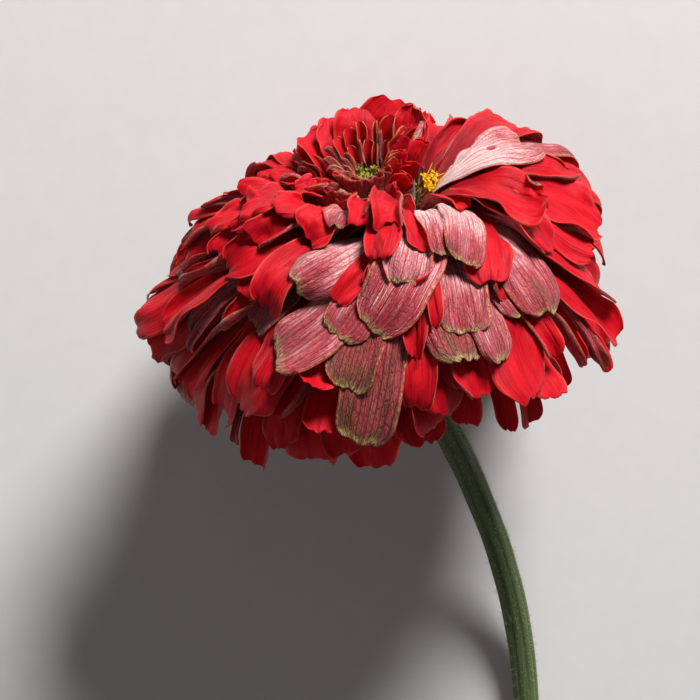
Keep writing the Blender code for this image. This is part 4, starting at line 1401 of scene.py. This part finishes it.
def add_disc_florets():
    """Open yellow florets, each a flared five-lobed tube with its two style branches."""
    florets = Rings("disc_florets.look", FLORET_YELLOW, FLORET_STYLE)
    side = away(np.float64(math.radians(FLORET_AZIMUTH)))
    lean = math.radians(FLORET_LEAN)
    main = math.cos(lean) * AXIS + math.sin(lean) * side
    middle = on_axis(FLORET_FOOT[0], math.radians(FLORET_AZIMUTH), FLORET_FOOT[1])
    around = np.cross(AXIS, side)
    for number in range(FLORET_COUNT):
        chance = np.random.default_rng(FLORET_SEED + number)
        turn, spread = number * GOLDEN_TURN, FLORET_SPACING * math.sqrt(number)
        push = math.cos(turn) * np.cross(around, main) + math.sin(turn) * around
        ahead = unit(main + FLORET_SPLAY * spread * push)
        foot = middle + spread * push
        tall = chance.uniform(3.4, 4.6)
        profile = ((0.24, 0, 0), (0.30, 0.5 * tall, 0), (0.42, 0.8 * tall, 0), (0.62, 0.93 * tall, 0.5))
        profile += ((0.95, tall, 1), (0.88, tall + 0.05, 1), (0.45, 0.9 * tall, 0.5), (0.22, 0.7 * tall, 0))
        florets.add(turned_rings(foot, ahead, profile, 30, -0.12))
        for way in (-1.0, 1.0):
            bow = 0.9 * way * np.cross(ahead, push + 0.2 * AXIS) + chance.uniform(-0.3, 0.3) * push
            start = foot + 0.72 * tall * ahead
            florets.add(curved_rod(start, ahead, bow, chance.uniform(1.6, 3.4), STYLE_WIDTH), 1)
    keep(florets.make(), "disc_florets")


# The stage
WORLD_STRENGTH = 0.08


def area_light(name, offset, size, power):
    """A round lamp, this far from the head's middle and turned to it, with its power in watts."""
    data = bpy.data.lights.new(name, "AREA")
    data.shape = "DISK"
    data.size = size * MM
    data.energy = power
    lamp = link(name, data)
    lamp.location = (CENTRE + offset) * MM
    lamp.rotation_euler = (Vector(CENTRE * MM) - lamp.location).to_track_quat("-Z", "Y").to_euler()


def add_stage():
    shade = Shader("floor_paper")
    colour = shade.mix(shade.grain(900.0, 3.0), (0.62, 0.61, 0.60), (0.66, 0.65, 0.64))
    mesh = bpy.data.meshes.new("floor")
    mesh.from_pydata([(-2, -2, 0), (2, -2, 0), (2, 2, 0), (-2, 2, 0)], [], [(0, 1, 2, 3)])
    mesh.materials.append(shade.finish(colour, 0.8))
    link("floor", mesh)
    area_light("key", (450.0, 1050.0, 800.0), 500.0, 33.0)
    area_light("fill", (-900.0, -500.0, 1200.0), 1200.0, 1.6)
    world = bpy.data.worlds.new("studio")
    world.use_nodes = True
    background = world.node_tree.nodes["Background"]
    background.inputs["Color"].default_value = (1.0, 1.0, 1.0, 1.0)
    background.inputs["Strength"].default_value = WORLD_STRENGTH
    bpy.context.scene.world = world
    bpy.context.scene.view_settings.view_transform = "Standard"


CAMERA_DISTANCE = 600.0
CAMERA_OFFSET = (-8.9, -1.5)    # from the head's centre, across and along the picture
FIELD_WIDTH = 133.0
SENSOR_WIDTH = 36.0


def add_camera():
    """Looks straight down, with the bloom at the top of the picture and the stem running down."""
    data = bpy.data.cameras.new("camera")
    data.sensor_width = SENSOR_WIDTH
    data.lens = SENSOR_WIDTH * CAMERA_DISTANCE / FIELD_WIDTH
    data.clip_start = 0.01
    camera = link("camera", data)
    camera.location = (CENTRE + np.array([*CAMERA_OFFSET, CAMERA_DISTANCE])) * MM
    bpy.context.scene.camera = camera


add_camera()
add_stage()
add_ray_petals()
add_hood()
add_collar()
add_tuft("crown_petals_outer", OUTER_TUFT, OUTER_TUFT_SEED)
add_tuft("crown_petals_inner", INNER_TUFT, INNER_TUFT_SEED)
add_stem()
add_stem_hairs()
add_involucre()
add_receptacle()
add_chaff()
add_bud()
add_disc_florets()
